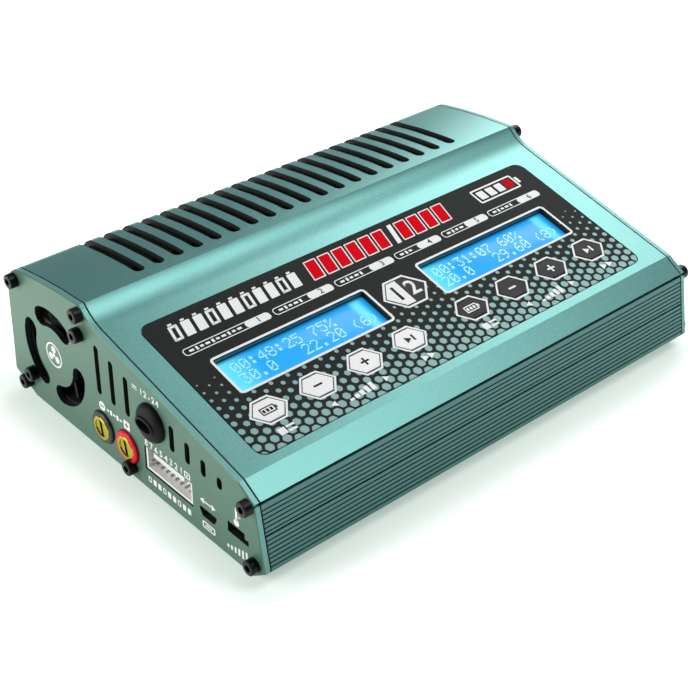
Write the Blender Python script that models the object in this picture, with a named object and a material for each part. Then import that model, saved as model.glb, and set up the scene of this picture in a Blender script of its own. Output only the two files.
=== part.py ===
"""Two-channel balance battery charger in an extruded aluminium case.

Frame: X along the case, Y from front to back, Z up, origin under the middle of
the case at the height of the feet. Sizes below are millimetres and degrees.
"""
import math

import bmesh
import bpy
from mathutils import Matrix, Vector

MM = 0.001
SEAT = 0.3                    # gap kept between pieces that touch

# ---------------------------------------------------------------- case section
CASE_LENGTH = 198.0           # over the two end plates
PLATE_T = 2.0                 # end plate thickness
PLATE_EDGE = 0.35             # chamfer round the end plate's outer edge
WALL = 2.0                    # extrusion wall
FOOT_H = 1.0                  # rubber foot under the floor
FOOT_R = 4.5
FOOT_INSET_X = 20.0           # foot centre from the case end
FOOT_INSET_Y = 26.0           # foot centre from the front and from the back
SKIRT_RUN = 5.7               # bottom front chamfer, along Y
SKIRT_RISE = 4.4              # bottom front chamfer, along Z
FRONT_LEAN = 11.1             # the ribbed wall leans back by this angle
FRONT_WALL = 24.2             # length of the ribbed wall up its own slope
CHIN_RUN = 7.07               # chamfer above the ribbed wall
CHIN_RISE = 4.23
SLOPE_ANGLE = 12.8            # display panel
COVE_RUN = 9.2                # cove between display panel and roof edge
COVE_RISE = 5.4
ROOF_R = 256.0                # the roof is gently convex
ROOF_START = -2.6             # roof tangent at its front edge
ROOF_RUN = 46.9               # roof edge to the back, along Y
CASE_DEPTH = 138.6            # front foot of the wall to the back
BACK_LEAN = 2.9
BACK_CORNER_R = 10.0
TAIL_RUN = 12.6               # bottom back chamfer
TAIL_RISE = 5.3
BACK_SPLIT_Z = 30.0           # joint between the shells on the back

# ribbed front wall, all measured down the wall from its top edge
JOINT_W = 1.1                 # dark joint under the chamfer
LIP_T = 1.1                   # lower shell's thin lip in front of the tongue
TONGUE_L = 3.6                # upper shell's tongue behind the lip
TONGUE_T = 1.0
RIB_PITCH = 1.5
RIB_GROOVE_W = 0.5
RIB_GROOVE_D = 0.45
UPPER_RIBS = 6
UPPER_RIBS_AT = 3.1
WIDE_GROOVE_AT = 11.9
WIDE_GROOVE_W = 0.75
WIDE_GROOVE_D = 0.8
LOWER_RIBS = 7
LOWER_RIBS_AT = 13.6

# ------------------------------------------------------------------ roof vents
VENTS = 19
VENT_PITCH = 7.92
VENT_W = 4.1
VENT_FROM_EDGE = 4.75         # roof edge to the slot's front end
VENT_BACK_DROP = 14.2         # slot's back end below the roof edge
SCREEN_T = 0.6                # dust screen under the vents
SCREEN_END_GAP = 1.2          # dust screen end to the back of a fan

# ----------------------------------------------------------------- cap screws
HEAD_R = 2.4
HEAD_H = 2.8
HEAD_BEVEL = 0.35
KEY_AF = 2.3                  # hexagon socket, across flats
KEY_DEPTH = 1.3
SHANK_R = 1.1
SHANK_L = 10.0
SHANK_GAP = 0.2               # radial gap round a shank
PORT_R = 2.1                  # screw port outer radius
PORT_L = 12.0                 # screw port length from each end
TOP_PORT_INSET = 3.2          # back top screw, in from the rounded corner
EDGE_PORT_DROP = 3.3          # roof edge screw, below the edge
EDGE_PORT_BACK = 0.25
CHIN_PORT_IN = 2.9            # screw at the joint, in from the wall
CHIN_PORT_DOWN = 1.3
SKIRT_PORT_Y = 4.9
SKIRT_PORT_Z = 5.3
FLOOR_PORT_SHIFT = 1.9         # floor screw in front of the red socket
FLOOR_PORT_Z = 4.65
TAIL_PORT_IN = 9.1            # back bottom screw, from the back
TAIL_PORT_Z = 5.2

# ------------------------------------------------------------------------ fans
FAN_SIZE = 40.0
FAN_DEPTH = 15.0
FAN_PITCH = 32.0
FAN_CORNER_R = 3.5
FAN_FROM_BACK = 29.6
FAN_BELOW_ROOF = 27.3         # fan centre below the roof edge
FAN_DUCT_R = 18.8
FAN_BASE_T = 2.0
FAN_SPOKE_W = 3.0
ROTOR_TIP_GAP = 0.6
ROTOR_HUB_R = 10.5
ROTOR_L = 11.0
ROTOR_BLADES = 7
ROTOR_TWIST = 42.0
BLADE_T = 1.3
PIN_R = 1.5
PIN_L = 8.0

# fan cut-outs in the end plate: arcs round one centre
GRILLE_SHIFT = 1.5            # behind the fan centre
GRILLE_DROP = 2.0             # below the fan centre
GRILLE_R = 14.5
GRILLE_W = 7.1
GRILLE_ARCS = ((-81.5, -3.5), (59.0, 115.5), (158.7, 234.5))

# ------------------------------------------------------- end plate side vents
SIDE_VENTS = 9
SIDE_VENT_Y = 20.9            # first slot
SIDE_VENT_TO_GRILLE = 8.7     # last slot to the fan cut-outs
SIDE_VENT_W = 2.5
SIDE_VENT_Z = 24.0
SIDE_VENT_MARGIN = 6.0        # slot top below the display panel's line

# ----------------------------------------------------------------- connectors
# the row of ports shares out the room between the ribbed wall and the fan
PORT_ROW_Y = 4.6              # front limit of the row
TEMP_GAP = 2.2                # shares of the free room, in the order of the row
USB_GAP = 4.75
BALANCE_GAP = 3.55
SOCKET_GAP = 3.55
PAIR_GAP = 2.2
FAN_GAP = 0.25
PORT_POCKET = 2.5             # floor thickness behind a port's cavity
PORT_CLEAR = 0.3              # port body inside its cut-out
SOCKET_Z = 11.3
SOCKET_R = 5.75
SOCKET_FLANGE = 1.0
SOCKET_NECK_R = 4.5
SOCKET_DEPTH = 11.5
SOCKET_BORE_R = 3.75
CONTACT_R = 3.45
CONTACT_BORE_R = 2.05         # takes a 4 mm plug
CONTACT_L = 18.0
CONTACT_SET_IN = 0.3
CONTACT_SLOT_W = 1.0
CONTACT_SLOT_L = 8.0
CABLE_Y = 54.6                # supply cable grommet
CABLE_Z = 29.4
GROMMET_R = 6.8
GROMMET_DOME = 3.4
GROMMET_TIP_R = 4.9
GROMMET_NECK_R = 5.6
CABLE_SLOT_W = 7.4
CABLE_SLOT_H = 4.2
BALANCE_Z = 12.7
BALANCE_W = 25.0
BALANCE_H = 9.2
BALANCE_WALL = 0.9
BALANCE_TOP_WALL = 2.2
BALANCE_KEY_IN = 3.0          # keyway centre from the header's side
BALANCE_KEY_W = 1.6
BALANCE_KEY_L = 5.0
USB_Z = 9.6
USB_W = 8.3
USB_H = 3.4
USB_SHELL_T = 0.4
USB_NIP = 1.3                 # cut corner of the socket, along Y
USB_SIDE = 1.2                # upright part of its side
USB_TONGUE_W = 3.8
USB_TONGUE_T = 0.55
TEMP_Z = 12.3
TEMP_W = 10.0
TEMP_H = 4.0
TEMP_STEP_W = 1.8
TEMP_STEP_H = 2.0
TEMP_WALL = 0.8

# ----------------------------------------------------------------- display panel
LABEL_END = 11.8              # case end to the label
LABEL_SHIFT = -0.2            # label centre from the middle of the case
LABEL_LOW = 3.6               # up the panel from the chamfer edge
LABEL_TO_COVE = 5.2
LABEL_T = 0.4
LABEL_SINK = 0.65             # pocket depth under the label
LABEL_CORNER_R = 4.0
WINDOW_END = 11.8             # label end to the window
WINDOW_MID = 12.5             # label centre to the window
WINDOW_H = 15.6
WINDOW_R = 1.0
WINDOW_S = 35.8
LCD_BEZEL = 2.2
LCD_T = 3.4
LCD_RECESS = 1.2
KEY_W = 12.3
KEY_H = 8.3
KEY_GAP = 0.4
KEY_S = 17.75
KEY_END = 13.95               # label end to the centre of the outer key
KEY_MID = 14.4                # label centre to the centre of the inner key
KEYS_PER_CHANNEL = 4
KEY_PROUD = 0.15
KEY_FLANGE = 0.9
KEY_FLANGE_T = 1.0
KEY_STEM_R = 1.8
KEY_TRAVEL = 0.4
CHANNEL_W = 17.4
CHANNEL_H = 12.0
CHANNEL_S = 35.75
PANEL_PCB_T = 1.6
PANEL_PCB_LOW = 6.0
PANEL_PCB_HIGH = 50.0
PANEL_PCB_MARGIN = 1.5        # inside the label's ends
SWITCH_SIZE = 6.0
SWITCH_TO_STEM = 0.7
POST_R = 2.4
POST_INSET = 4.6

# --------------------------------------------------------------- main board
PCB_T = 1.6
PCB_Z = 5.8
PCB_FRONT = 12.0
PCB_TO_FAN = 3.5
RAIL_W = 2.4
RAIL_IN = 6.8                 # rail centre from the board's edge
RAIL_MID = 25.5               # middle rail from the board's back edge

# ---------------------------------------------------------------- derived sizes
HALF = CASE_LENGTH / 2.0
SHELL_HALF = HALF - PLATE_T - SEAT
BASE_Z = FOOT_H + SEAT
MID_Y = CASE_DEPTH / 2.0
BOARD_HALF = SHELL_HALF - PORT_L - 0.8
LEAN = math.radians(FRONT_LEAN)
SLOPE = math.radians(SLOPE_ANGLE)
SLOPE_RUN = CASE_DEPTH - ROOF_RUN - COVE_RUN - CHIN_RUN - FRONT_WALL * math.sin(LEAN)
SLOPE_LEN = SLOPE_RUN / math.cos(SLOPE)
LABEL_MID = HALF + LABEL_SHIFT
LABEL_HALF = HALF - LABEL_END
LABEL_HIGH = SLOPE_LEN - LABEL_TO_COVE
WINDOW_W = LABEL_HALF - WINDOW_END - WINDOW_MID
WINDOW_X = tuple(LABEL_MID + side * (WINDOW_MID + WINDOW_W / 2) for side in (-1, 1))
KEY_PITCH = (LABEL_HALF - KEY_END - KEY_MID) / (KEYS_PER_CHANNEL - 1)
KEY_REACH = [KEY_MID + i * KEY_PITCH for i in range(KEYS_PER_CHANNEL)]
KEY_X = [LABEL_MID - reach for reach in reversed(KEY_REACH)] + [LABEL_MID + reach for reach in KEY_REACH]


def share_out(start, end, items):
    """Centres of a row of (width, gap share) items between two limits."""
    free = end - start - sum(width for width, gap in items)
    scale = free / sum(gap for width, gap in items)
    centres = []
    for width, gap in items[:-1]:
        start += gap * scale
        centres.append(start + width / 2)
        start += width
    return centres


FAN_FRONT = CASE_DEPTH - FAN_FROM_BACK - FAN_SIZE / 2
PORTS_Y = share_out(PORT_ROW_Y, FAN_FRONT,
                    [(TEMP_W + 2 * TEMP_WALL, TEMP_GAP), (USB_W, USB_GAP), (BALANCE_W, BALANCE_GAP),
                     (2 * SOCKET_R, SOCKET_GAP), (2 * SOCKET_R, PAIR_GAP), (0.0, FAN_GAP)])
TEMP_Y, USB_Y, BALANCE_Y, SOCKET_POS_Y, SOCKET_NEG_Y = PORTS_Y
PCB_BACK = FAN_FRONT - PCB_TO_FAN
RAIL_Y = (PCB_FRONT + RAIL_IN, PCB_BACK - RAIL_MID, PCB_BACK - RAIL_IN)


def srgb(red, green, blue):
    """8-bit display colour as linear values."""
    out = []
    for value in (red, green, blue):
        value = value / 255.0
        out.append(value / 12.92 if value <= 0.04045 else ((value + 0.055) / 1.055) ** 2.4)
    return tuple(out)


MATERIALS = {
    "anodised_teal": (srgb(112, 172, 162), 0.34, 0.75),
    "anodised_plate": (srgb(112, 158, 138), 0.42, 0.6),
    "black_steel": (srgb(22, 22, 24), 0.38, 0.6),
    "label_film": (srgb(46, 48, 46), 0.38, 0.0),
    "key_white": (srgb(238, 240, 240), 0.4, 0.0),
    "key_black": (srgb(40, 42, 41), 0.4, 0.0),
    "black_plastic": (srgb(24, 25, 27), 0.5, 0.0),
    "grommet_rubber": (srgb(34, 36, 39), 0.55, 0.0),
    "socket_grey": (srgb(78, 80, 82), 0.45, 0.0),
    "socket_red": (srgb(226, 34, 62), 0.4, 0.0),
    "contact_gold": (srgb(222, 190, 60), 0.25, 1.0),
    "connector_white": (srgb(232, 230, 226), 0.5, 0.0),
    "lcd_blue": (srgb(52, 140, 240), 0.3, 0.0),
    "bright_steel": (srgb(170, 172, 175), 0.3, 1.0),
    "circuit_board": (srgb(22, 60, 40), 0.5, 0.0),
    "dust_screen": (srgb(14, 13, 13), 0.7, 0.0),
    "foot_rubber": (srgb(26, 26, 27), 0.8, 0.0),
}


def material(name):
    """Principled material with the sampled colour, roughness and metallic value."""
    found = bpy.data.materials.get(name)
    if found:
        return found
    colour, rough, metal = MATERIALS[name]
    found = bpy.data.materials.new(name)
    found.use_nodes = True
    shader = found.node_tree.nodes["Principled BSDF"]
    shader.inputs["Base Color"].default_value = (*colour, 1.0)
    shader.inputs["Roughness"].default_value = rough
    shader.inputs["Metallic"].default_value = metal
    found.diffuse_color = (*colour, 1.0)
    return found


# ------------------------------------------------------------------ mesh helpers
def new_object(name, bm, slot=None, smooth=None):
    """Put a bmesh, built in millimetres, into a named object."""
    bmesh.ops.scale(bm, vec=(MM, MM, MM), verts=bm.verts)
    bmesh.ops.recalc_face_normals(bm, faces=bm.faces)
    mesh = bpy.data.meshes.new(name)
    bm.to_mesh(mesh)
    bm.free()
    obj = bpy.data.objects.new(name, mesh)
    bpy.context.scene.collection.objects.link(obj)
    if slot:
        mesh.materials.append(material(slot))
    if smooth:
        mesh.shade_smooth()
        mesh.set_sharp_from_angle(angle=math.radians(smooth))
    return obj


def cut(obj, cutter, operation="DIFFERENCE"):
    """Boolean modifier with a wire-frame tool."""
    cutter.hide_render = True
    cutter.display_type = "WIRE"
    mod = obj.modifiers.new(cutter.name, "BOOLEAN")
    mod.operation = operation
    mod.solver = "EXACT"
    mod.object = cutter


def extrude_loop(bm, loop, axis, start, end):
    """Extrude a closed loop of (a, b) points along X, Y or Z."""
    def place(point, along):
        if axis == "X":
            return (along, point[0], point[1])
        if axis == "Y":
            return (point[0], along, point[1])
        return (point[0], point[1], along)
    verts = [bm.verts.new(place(point, start)) for point in loop]
    face = bm.faces.new(verts)
    grown = bmesh.ops.extrude_face_region(bm, geom=[face])
    moved = [item for item in grown["geom"] if isinstance(item, bmesh.types.BMVert)]
    shift = Vector(place((0.0, 0.0), end)) - Vector(place((0.0, 0.0), start))
    bmesh.ops.translate(bm, vec=shift, verts=moved)


def loft(bm, rings):
    """Skin equal rings of 3-D points into one closed solid."""
    made = [[bm.verts.new(point) for point in ring] for ring in rings]
    count = len(made[0])
    bm.faces.new(made[0])
    bm.faces.new(list(reversed(made[-1])))
    for low, high in zip(made, made[1:]):
        for i in range(count):
            j = (i + 1) % count
            bm.faces.new((low[i], high[i], high[j], low[j]))


def revolve(bm, profile, segments, place=None, hexed=()):
    """Spin an (r, h) profile round Z; hexed rows become hexagons."""
    apothem = 0.0
    verts = [bm.verts.new((r, 0.0, h)) for r, h in profile]
    edges = [bm.edges.new(pair) for pair in zip(verts, verts[1:])]
    before = set(bm.verts) - set(verts)
    bmesh.ops.spin(bm, geom=verts + edges, cent=(0, 0, 0), axis=(0, 0, 1), angle=math.tau,
                   steps=segments, use_merge=True)
    fresh = [v for v in bm.verts if v not in before]
    bmesh.ops.remove_doubles(bm, verts=fresh, dist=1e-4)
    fresh = [v for v in bm.verts if v not in before]
    for r, h in [profile[i] for i in hexed]:
        apothem = r
        for v in fresh:
            if abs(v.co.z - h) < 1e-5 and abs(v.co.xy.length - r) < 1e-4:
                angle = math.atan2(v.co.y, v.co.x)
                turn = (angle + math.radians(30)) % math.radians(60) - math.radians(30)
                v.co.xy *= apothem / math.cos(turn) / r
    if place:
        bmesh.ops.transform(bm, matrix=place, verts=fresh)


def outward(side, x, y, z):
    """Turn local +Z to point out of the left (-1) or right (+1) end."""
    return Matrix.Translation((side * x, y, z)) @ Matrix.Rotation(side * math.pi / 2, 4, "Y")


def circle(cy, cz, radius, count=20):
    return [(cy + radius * math.cos(math.tau * i / count), cz + radius * math.sin(math.tau * i / count))
            for i in range(count)]


def rounded(cx, cy, width, height, radius, steps=5):
    """Rounded rectangle about a centre, counter-clockwise."""
    points = []
    for quarter, (sx, sy) in enumerate(((1, 1), (-1, 1), (-1, -1), (1, -1))):
        for i in range(steps + 1):
            angle = math.pi / 2 * (quarter + i / steps)
            points.append((cx + sx * (width / 2 - radius) + radius * math.cos(angle),
                           cy + sy * (height / 2 - radius) + radius * math.sin(angle)))
    return points


def stretched_hexagon(cx, cy, width, height):
    """Hexagon with level top and bottom and a point at each side."""
    tip = height / 2 / math.tan(math.radians(52))
    half = width / 2
    return [(cx + half, cy), (cx + half - tip, cy + height / 2), (cx - half + tip, cy + height / 2),
            (cx - half, cy), (cx - half + tip, cy - height / 2), (cx + half - tip, cy - height / 2)]


def arc_slot(cy, cz, radius, width, first, last, steps=7):
    """Closed outline of a slot that follows an arc; angles run from the front."""
    def point(r, angle):
        return (cy - r * math.cos(angle), cz + r * math.sin(angle))
    first = math.radians(first)
    last = math.radians(last)
    points = []
    for i in range(steps + 1):
        points.append(point(radius + width / 2, first + (last - first) * i / steps))
    for base, start in ((last, last), (first, first + math.pi)):
        ey, ez = cy - radius * math.cos(base), cz + radius * math.sin(base)
        for i in range(1, 5):
            turn = start + math.pi * i / 5
            points.append((ey - width / 2 * math.cos(turn), ez + width / 2 * math.sin(turn)))
        if base == last:
            for i in range(steps + 1):
                points.append(point(radius - width / 2, last + (first - last) * i / steps))
    return points


def bullet(centre, radius, towards, reach, steps=6):
    """Round port with a web of its own width that runs towards a wall."""
    length = math.hypot(*towards)
    dy, dz = towards[0] / length, towards[1] / length
    base = math.atan2(dz, dy)
    points = []
    for i in range(steps + 1):
        angle = base + math.pi / 2 + math.pi * i / steps
        points.append((centre[0] + radius * math.cos(angle), centre[1] + radius * math.sin(angle)))
    points.append((points[-1][0] + dy * reach, points[-1][1] + dz * reach))
    points.append((points[0][0] + dy * reach, points[0][1] + dz * reach))
    return points


def crossing(p, d, q, e):
    """Point where the line p + t d meets the line q + s e."""
    den = d[0] * e[1] - d[1] * e[0]
    t = ((q[0] - p[0]) * e[1] - (q[1] - p[1]) * e[0]) / den
    return (p[0] + t * d[0], p[1] + t * d[1])


def offset_path(path, distance):
    """Shift an open path to its right-hand side with mitred corners."""
    out = []
    for i, point in enumerate(path):
        norms = []
        for a, b in ((i - 1, i), (i, i + 1)):
            if a < 0 or b >= len(path):
                continue
            dy, dz = path[b][0] - path[a][0], path[b][1] - path[a][1]
            size = math.hypot(dy, dz)
            norms.append((dz / size, -dy / size))
        ny = sum(n[0] for n in norms)
        nz = sum(n[1] for n in norms)
        size = math.hypot(ny, nz)
        ny, nz = ny / size, nz / size
        grow = distance / (ny * norms[0][0] + nz * norms[0][1])
        out.append((point[0] + ny * grow, point[1] + nz * grow))
    return out


# --------------------------------------------------------------- case section
WALL_UP = (math.sin(LEAN), math.cos(LEAN))        # up the ribbed wall
WALL_IN = (math.cos(LEAN), -math.sin(LEAN))       # into the case from it
SKIRT = (0.0, SKIRT_RISE)
JOINT = (FRONT_WALL * WALL_UP[0], SKIRT_RISE + FRONT_WALL * WALL_UP[1])
CHIN = (JOINT[0] + CHIN_RUN, JOINT[1] + CHIN_RISE)
COVE = (CHIN[0] + SLOPE_LEN * math.cos(SLOPE), CHIN[1] + SLOPE_LEN * math.sin(SLOPE))
ROOF_EDGE = (COVE[0] + COVE_RUN, COVE[1] + COVE_RISE)
TAIL = (CASE_DEPTH, TAIL_RISE)
TAIL_FOOT = (CASE_DEPTH - TAIL_RUN, 0.0)
BACK_UP = (-math.sin(math.radians(BACK_LEAN)), math.cos(math.radians(BACK_LEAN)))


def on_wall(inward, down):
    """Point measured from the top edge of the ribbed wall."""
    return (JOINT[0] + inward * WALL_IN[0] - down * WALL_UP[0],
            JOINT[1] + inward * WALL_IN[1] - down * WALL_UP[1])


def cove_points(steps=6):
    """Arc that leaves the display panel at its own angle and ends at the roof edge."""
    chord = math.hypot(COVE_RUN, COVE_RISE)
    half = math.atan2(COVE_RISE, COVE_RUN) - SLOPE
    radius = chord / 2 / math.sin(half)
    cy, cz = COVE[0] - radius * math.sin(SLOPE), COVE[1] + radius * math.cos(SLOPE)
    return [(cy + radius * math.sin(SLOPE + 2 * half * i / steps),
             cz - radius * math.cos(SLOPE + 2 * half * i / steps)) for i in range(1, steps)]


def roof_points(steps=3, corner_steps=5):
    """Convex roof, then a round corner tangent to it and to the leaning back."""
    start = math.radians(ROOF_START)
    cy = ROOF_EDGE[0] + ROOF_R * math.sin(start)
    cz = ROOF_EDGE[1] - ROOF_R * math.cos(start)
    inner = BACK_CORNER_R
    py, pz = TAIL[0] - inner * BACK_UP[1], TAIL[1] + inner * BACK_UP[0]
    by, bz = py - cy, pz - cz
    along = by * BACK_UP[0] + bz * BACK_UP[1]
    rest = by * by + bz * bz - (ROOF_R - inner) ** 2
    t = -along + math.sqrt(along * along - rest)
    oy, oz = py + t * BACK_UP[0], pz + t * BACK_UP[1]
    meet = math.atan2(oy - cy, oz - cz)
    first = math.atan2(ROOF_EDGE[0] - cy, ROOF_EDGE[1] - cz)
    roof = [(cy + ROOF_R * math.sin(first + (meet - first) * i / steps),
             cz + ROOF_R * math.cos(first + (meet - first) * i / steps)) for i in range(1, steps)]
    last = math.pi / 2 - math.radians(BACK_LEAN)
    corner = [(oy + inner * math.sin(meet + (last - meet) * i / corner_steps),
               oz + inner * math.cos(meet + (last - meet) * i / corner_steps))
              for i in range(corner_steps + 1)]
    return roof, corner, (oy, oz)


ROOF, CORNER, CORNER_CENTRE = roof_points()
OVER = [CHIN, COVE] + cove_points() + [ROOF_EDGE] + ROOF + CORNER


def lift(points):
    """Section points, measured from the floor's underside and the front, to part space."""
    return [(y - MID_Y, z + BASE_Z) for y, z in points]


def back_at(z):
    return (TAIL[0] + (z - TAIL[1]) * BACK_UP[0] / BACK_UP[1], z)


def panel_line(y):
    """Height of the display panel's plane."""
    return CHIN[1] + (y - CHIN[0]) * math.tan(SLOPE)


SCREWS = {
    "top": (CORNER_CENTRE[0] + (BACK_CORNER_R - TOP_PORT_INSET) * 0.64,
            CORNER_CENTRE[1] + (BACK_CORNER_R - TOP_PORT_INSET) * 0.768),
    "edge": (ROOF_EDGE[0] + EDGE_PORT_BACK, ROOF_EDGE[1] - EDGE_PORT_DROP),
    "chin": on_wall(CHIN_PORT_IN, CHIN_PORT_DOWN),
    "skirt": (SKIRT_PORT_Y, SKIRT_PORT_Z),
    "floor": (SOCKET_POS_Y - FLOOR_PORT_SHIFT, FLOOR_PORT_Z),
    "tail": (CASE_DEPTH - TAIL_PORT_IN, TAIL_PORT_Z),
}
FAN_CENTRE = (CASE_DEPTH - FAN_FROM_BACK, ROOF_EDGE[1] - FAN_BELOW_ROOF)
FAN_SCREWS = {
    "upper": (FAN_CENTRE[0] - FAN_PITCH / 2, FAN_CENTRE[1] + FAN_PITCH / 2),
    "lower": (FAN_CENTRE[0] + FAN_PITCH / 2, FAN_CENTRE[1] - FAN_PITCH / 2),
}
GRILLE_CENTRE = (FAN_CENTRE[0] + GRILLE_SHIFT, FAN_CENTRE[1] - GRILLE_DROP)
SIDE_VENT_LAST = GRILLE_CENTRE[0] - GRILLE_R - GRILLE_W / 2 - SIDE_VENT_TO_GRILLE
SIDE_VENT_PITCH = (SIDE_VENT_LAST - SIDE_VENT_Y) / (SIDE_VENTS - 1)


# ---------------------------------------------------------------- upper shell
def upper_section():
    tongue = LIP_T + SEAT
    chin_dir = (CHIN_RUN, CHIN_RISE)
    inner = offset_path([JOINT] + OVER + [back_at(BACK_SPLIT_Z)], WALL)
    root = crossing(on_wall(tongue + TONGUE_T, 0.0), WALL_UP, inner[0], chin_dir)
    front = [on_wall(tongue, 0.0), on_wall(tongue, TONGUE_L), on_wall(tongue + TONGUE_T, TONGUE_L), root]
    outer = [JOINT] + OVER + [back_at(BACK_SPLIT_Z)]
    return outer + list(reversed(inner[1:])) + list(reversed(front))


def port_outline(name):
    y, z = SCREWS[name]
    if name == "chin":
        points = []
        limit = LIP_T + SEAT + TONGUE_T / 4
        for py, pz in circle(y, z, PORT_R, 12):
            inward = (py - JOINT[0]) * WALL_IN[0] + (pz - JOINT[1]) * WALL_IN[1]
            push = max(0.0, limit - inward)
            points.append((py + push * WALL_IN[0], pz + push * WALL_IN[1]))
        kept = []
        for point in points:
            if all(math.hypot(point[0] - k[0], point[1] - k[1]) > 0.05 for k in kept):
                kept.append(point)
        return kept
    if name == "edge":
        return circle(y, z, PORT_R, 12)
    if name == "top":
        return bullet((y, z), PORT_R, (0.64, 0.768), TOP_PORT_INSET - WALL / 2 - 0.2)
    if name == "skirt":
        return bullet((y, z), PORT_R, (-SKIRT_RISE, -SKIRT_RUN), PORT_R + WALL / 4)
    if name == "tail":
        return bullet((y, z), PORT_R, (TAIL_RISE, -TAIL_RUN), PORT_R + WALL / 4)
    return bullet((y, z), PORT_R, (0.0, -1.0), z - WALL / 2)


def port_solids(name, names, obj, bury=0.0):
    """Screw ports at both ends, joined to a shell, then their holes."""
    bosses = bmesh.new()
    holes = bmesh.new()
    for key in names:
        y, z = SCREWS[key]
        for side in (-1, 1):
            extrude_loop(bosses, lift(port_outline(key)), "X", side * (SHELL_HALF - PORT_L),
                         side * (SHELL_HALF - bury))
            extrude_loop(holes, lift(circle(y, z, SHANK_R + SHANK_GAP, 8)), "X",
                         side * (SHELL_HALF - PORT_L - 1.0), side * (SHELL_HALF + 1.0))
    cut(obj, new_object(name + "_port_blank", bosses), "UNION")
    cut(obj, new_object(name + "_port_drill", holes))


def panel_frame():
    """Empty on the display panel: X along the case, Y up the panel, Z out of it."""
    empty = bpy.data.objects.new("panel_frame", None)
    bpy.context.scene.collection.objects.link(empty)
    y, z = lift([CHIN])[0]
    empty.location = (-HALF * MM, y * MM, z * MM)
    empty.rotation_euler = (SLOPE, 0.0, 0.0)
    return empty


def on_panel(obj, frame, at=(0.0, 0.0, 0.0)):
    obj.parent = frame
    obj.location = (at[0] * MM, at[1] * MM, at[2] * MM)
    return obj


def label_box():
    return (LABEL_MID, (LABEL_LOW + LABEL_HIGH) / 2, 2 * LABEL_HALF, LABEL_HIGH - LABEL_LOW)


def panel_holes(bm, low, high, extra):
    """Window and key openings through the panel or through the label."""
    for x in WINDOW_X:
        extrude_loop(bm, rounded(x, WINDOW_S, WINDOW_W + 2 * extra, WINDOW_H + 2 * extra, WINDOW_R, 3),
                     "Z", low, high)
    for x in KEY_X:
        extrude_loop(bm, stretched_hexagon(x, KEY_S, KEY_W + 2 * KEY_GAP, KEY_H + 2 * KEY_GAP),
                     "Z", low, high)
    extrude_loop(bm, stretched_hexagon(LABEL_MID, CHANNEL_S, CHANNEL_W + 2 * KEY_GAP,
                                       CHANNEL_H + 2 * KEY_GAP), "Z", low, high)


PANEL_PCB_TOP = -(WALL + SEAT + LCD_T + SEAT)


def post_spots():
    """Posts that carry the display board, outside the windows and keys."""
    reach = LABEL_HALF - PANEL_PCB_MARGIN - POST_INSET
    return [(x, s) for x in (LABEL_MID - reach, LABEL_MID + reach) for s in (PANEL_PCB_LOW + POST_INSET, PANEL_PCB_HIGH - POST_INSET)]


def build_upper_shell(frame):
    bm = bmesh.new()
    extrude_loop(bm, lift(upper_section()), "X", -SHELL_HALF, SHELL_HALF)
    shell = new_object("upper_shell", bm, "anodised_teal", smooth=20)
    port_solids("upper", ("top", "edge", "chin"), shell)
    posts = bmesh.new()
    for x, s in post_spots():
        extrude_loop(posts, circle(x, s, POST_R, 10), "Z", PANEL_PCB_TOP + SEAT, -WALL / 2)
    cut(shell, on_panel(new_object("panel_post_blank", posts), frame), "UNION")
    pocket = bmesh.new()
    x, s, width, height = label_box()
    extrude_loop(pocket, rounded(x, s, width + SEAT, height + SEAT, LABEL_CORNER_R), "Z", -LABEL_SINK, 4.0)
    cut(shell, on_panel(new_object("label_pocket_cut", pocket), frame))
    holes = bmesh.new()
    panel_holes(holes, -WALL - 1.5, 2.0, 0.0)
    cut(shell, on_panel(new_object("panel_opening_cut", holes), frame))
    cut(shell, build_vent_cutters())
    return shell


def build_vent_cutters():
    """Slots that cross the roof and run over the back corner."""
    bm = bmesh.new()
    front = ROOF_EDGE[0] + VENT_FROM_EDGE
    low = ROOF_EDGE[1] - VENT_BACK_DROP
    high = ROOF_EDGE[1] + 4.0
    half = VENT_W / 2
    for i in range(VENTS):
        x = (i - (VENTS - 1) / 2) * VENT_PITCH
        plan = [(x + half, CASE_DEPTH + 3.0), (x - half, CASE_DEPTH + 3.0)]
        for k in range(6):
            angle = math.pi + math.pi * k / 5
            plan.append((x + half * math.cos(angle), front + half + half * math.sin(angle)))
        loop = [(px, py - MID_Y) for px, py in plan]
        extrude_loop(bm, loop, "Z", low + BASE_Z, high + BASE_Z)
    return new_object("roof_vent_cut", bm)


def build_dust_screen():
    """Thin black screen that follows the roof inside, under the vents."""
    path = [ROOF_EDGE] + ROOF + CORNER + [back_at(ROOF_EDGE[1] - VENT_BACK_DROP - VENT_W)]
    outer = offset_path(path, WALL + SEAT)
    inner = offset_path(path, WALL + SEAT + SCREEN_T)
    start = ROOF_EDGE[0] + PORT_R + EDGE_PORT_BACK
    outer = [p for p in outer if p[0] > start or p[1] < ROOF_EDGE[1] - 8.0]
    inner = [p for p in inner if p[0] > start or p[1] < ROOF_EDGE[1] - 8.0]
    half = SHELL_HALF - FAN_DEPTH - SCREEN_END_GAP
    bm = bmesh.new()
    extrude_loop(bm, lift(outer + list(reversed(inner))), "X", -half, half)
    return new_object("dust_screen", bm, "dust_screen", smooth=30)


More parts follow.
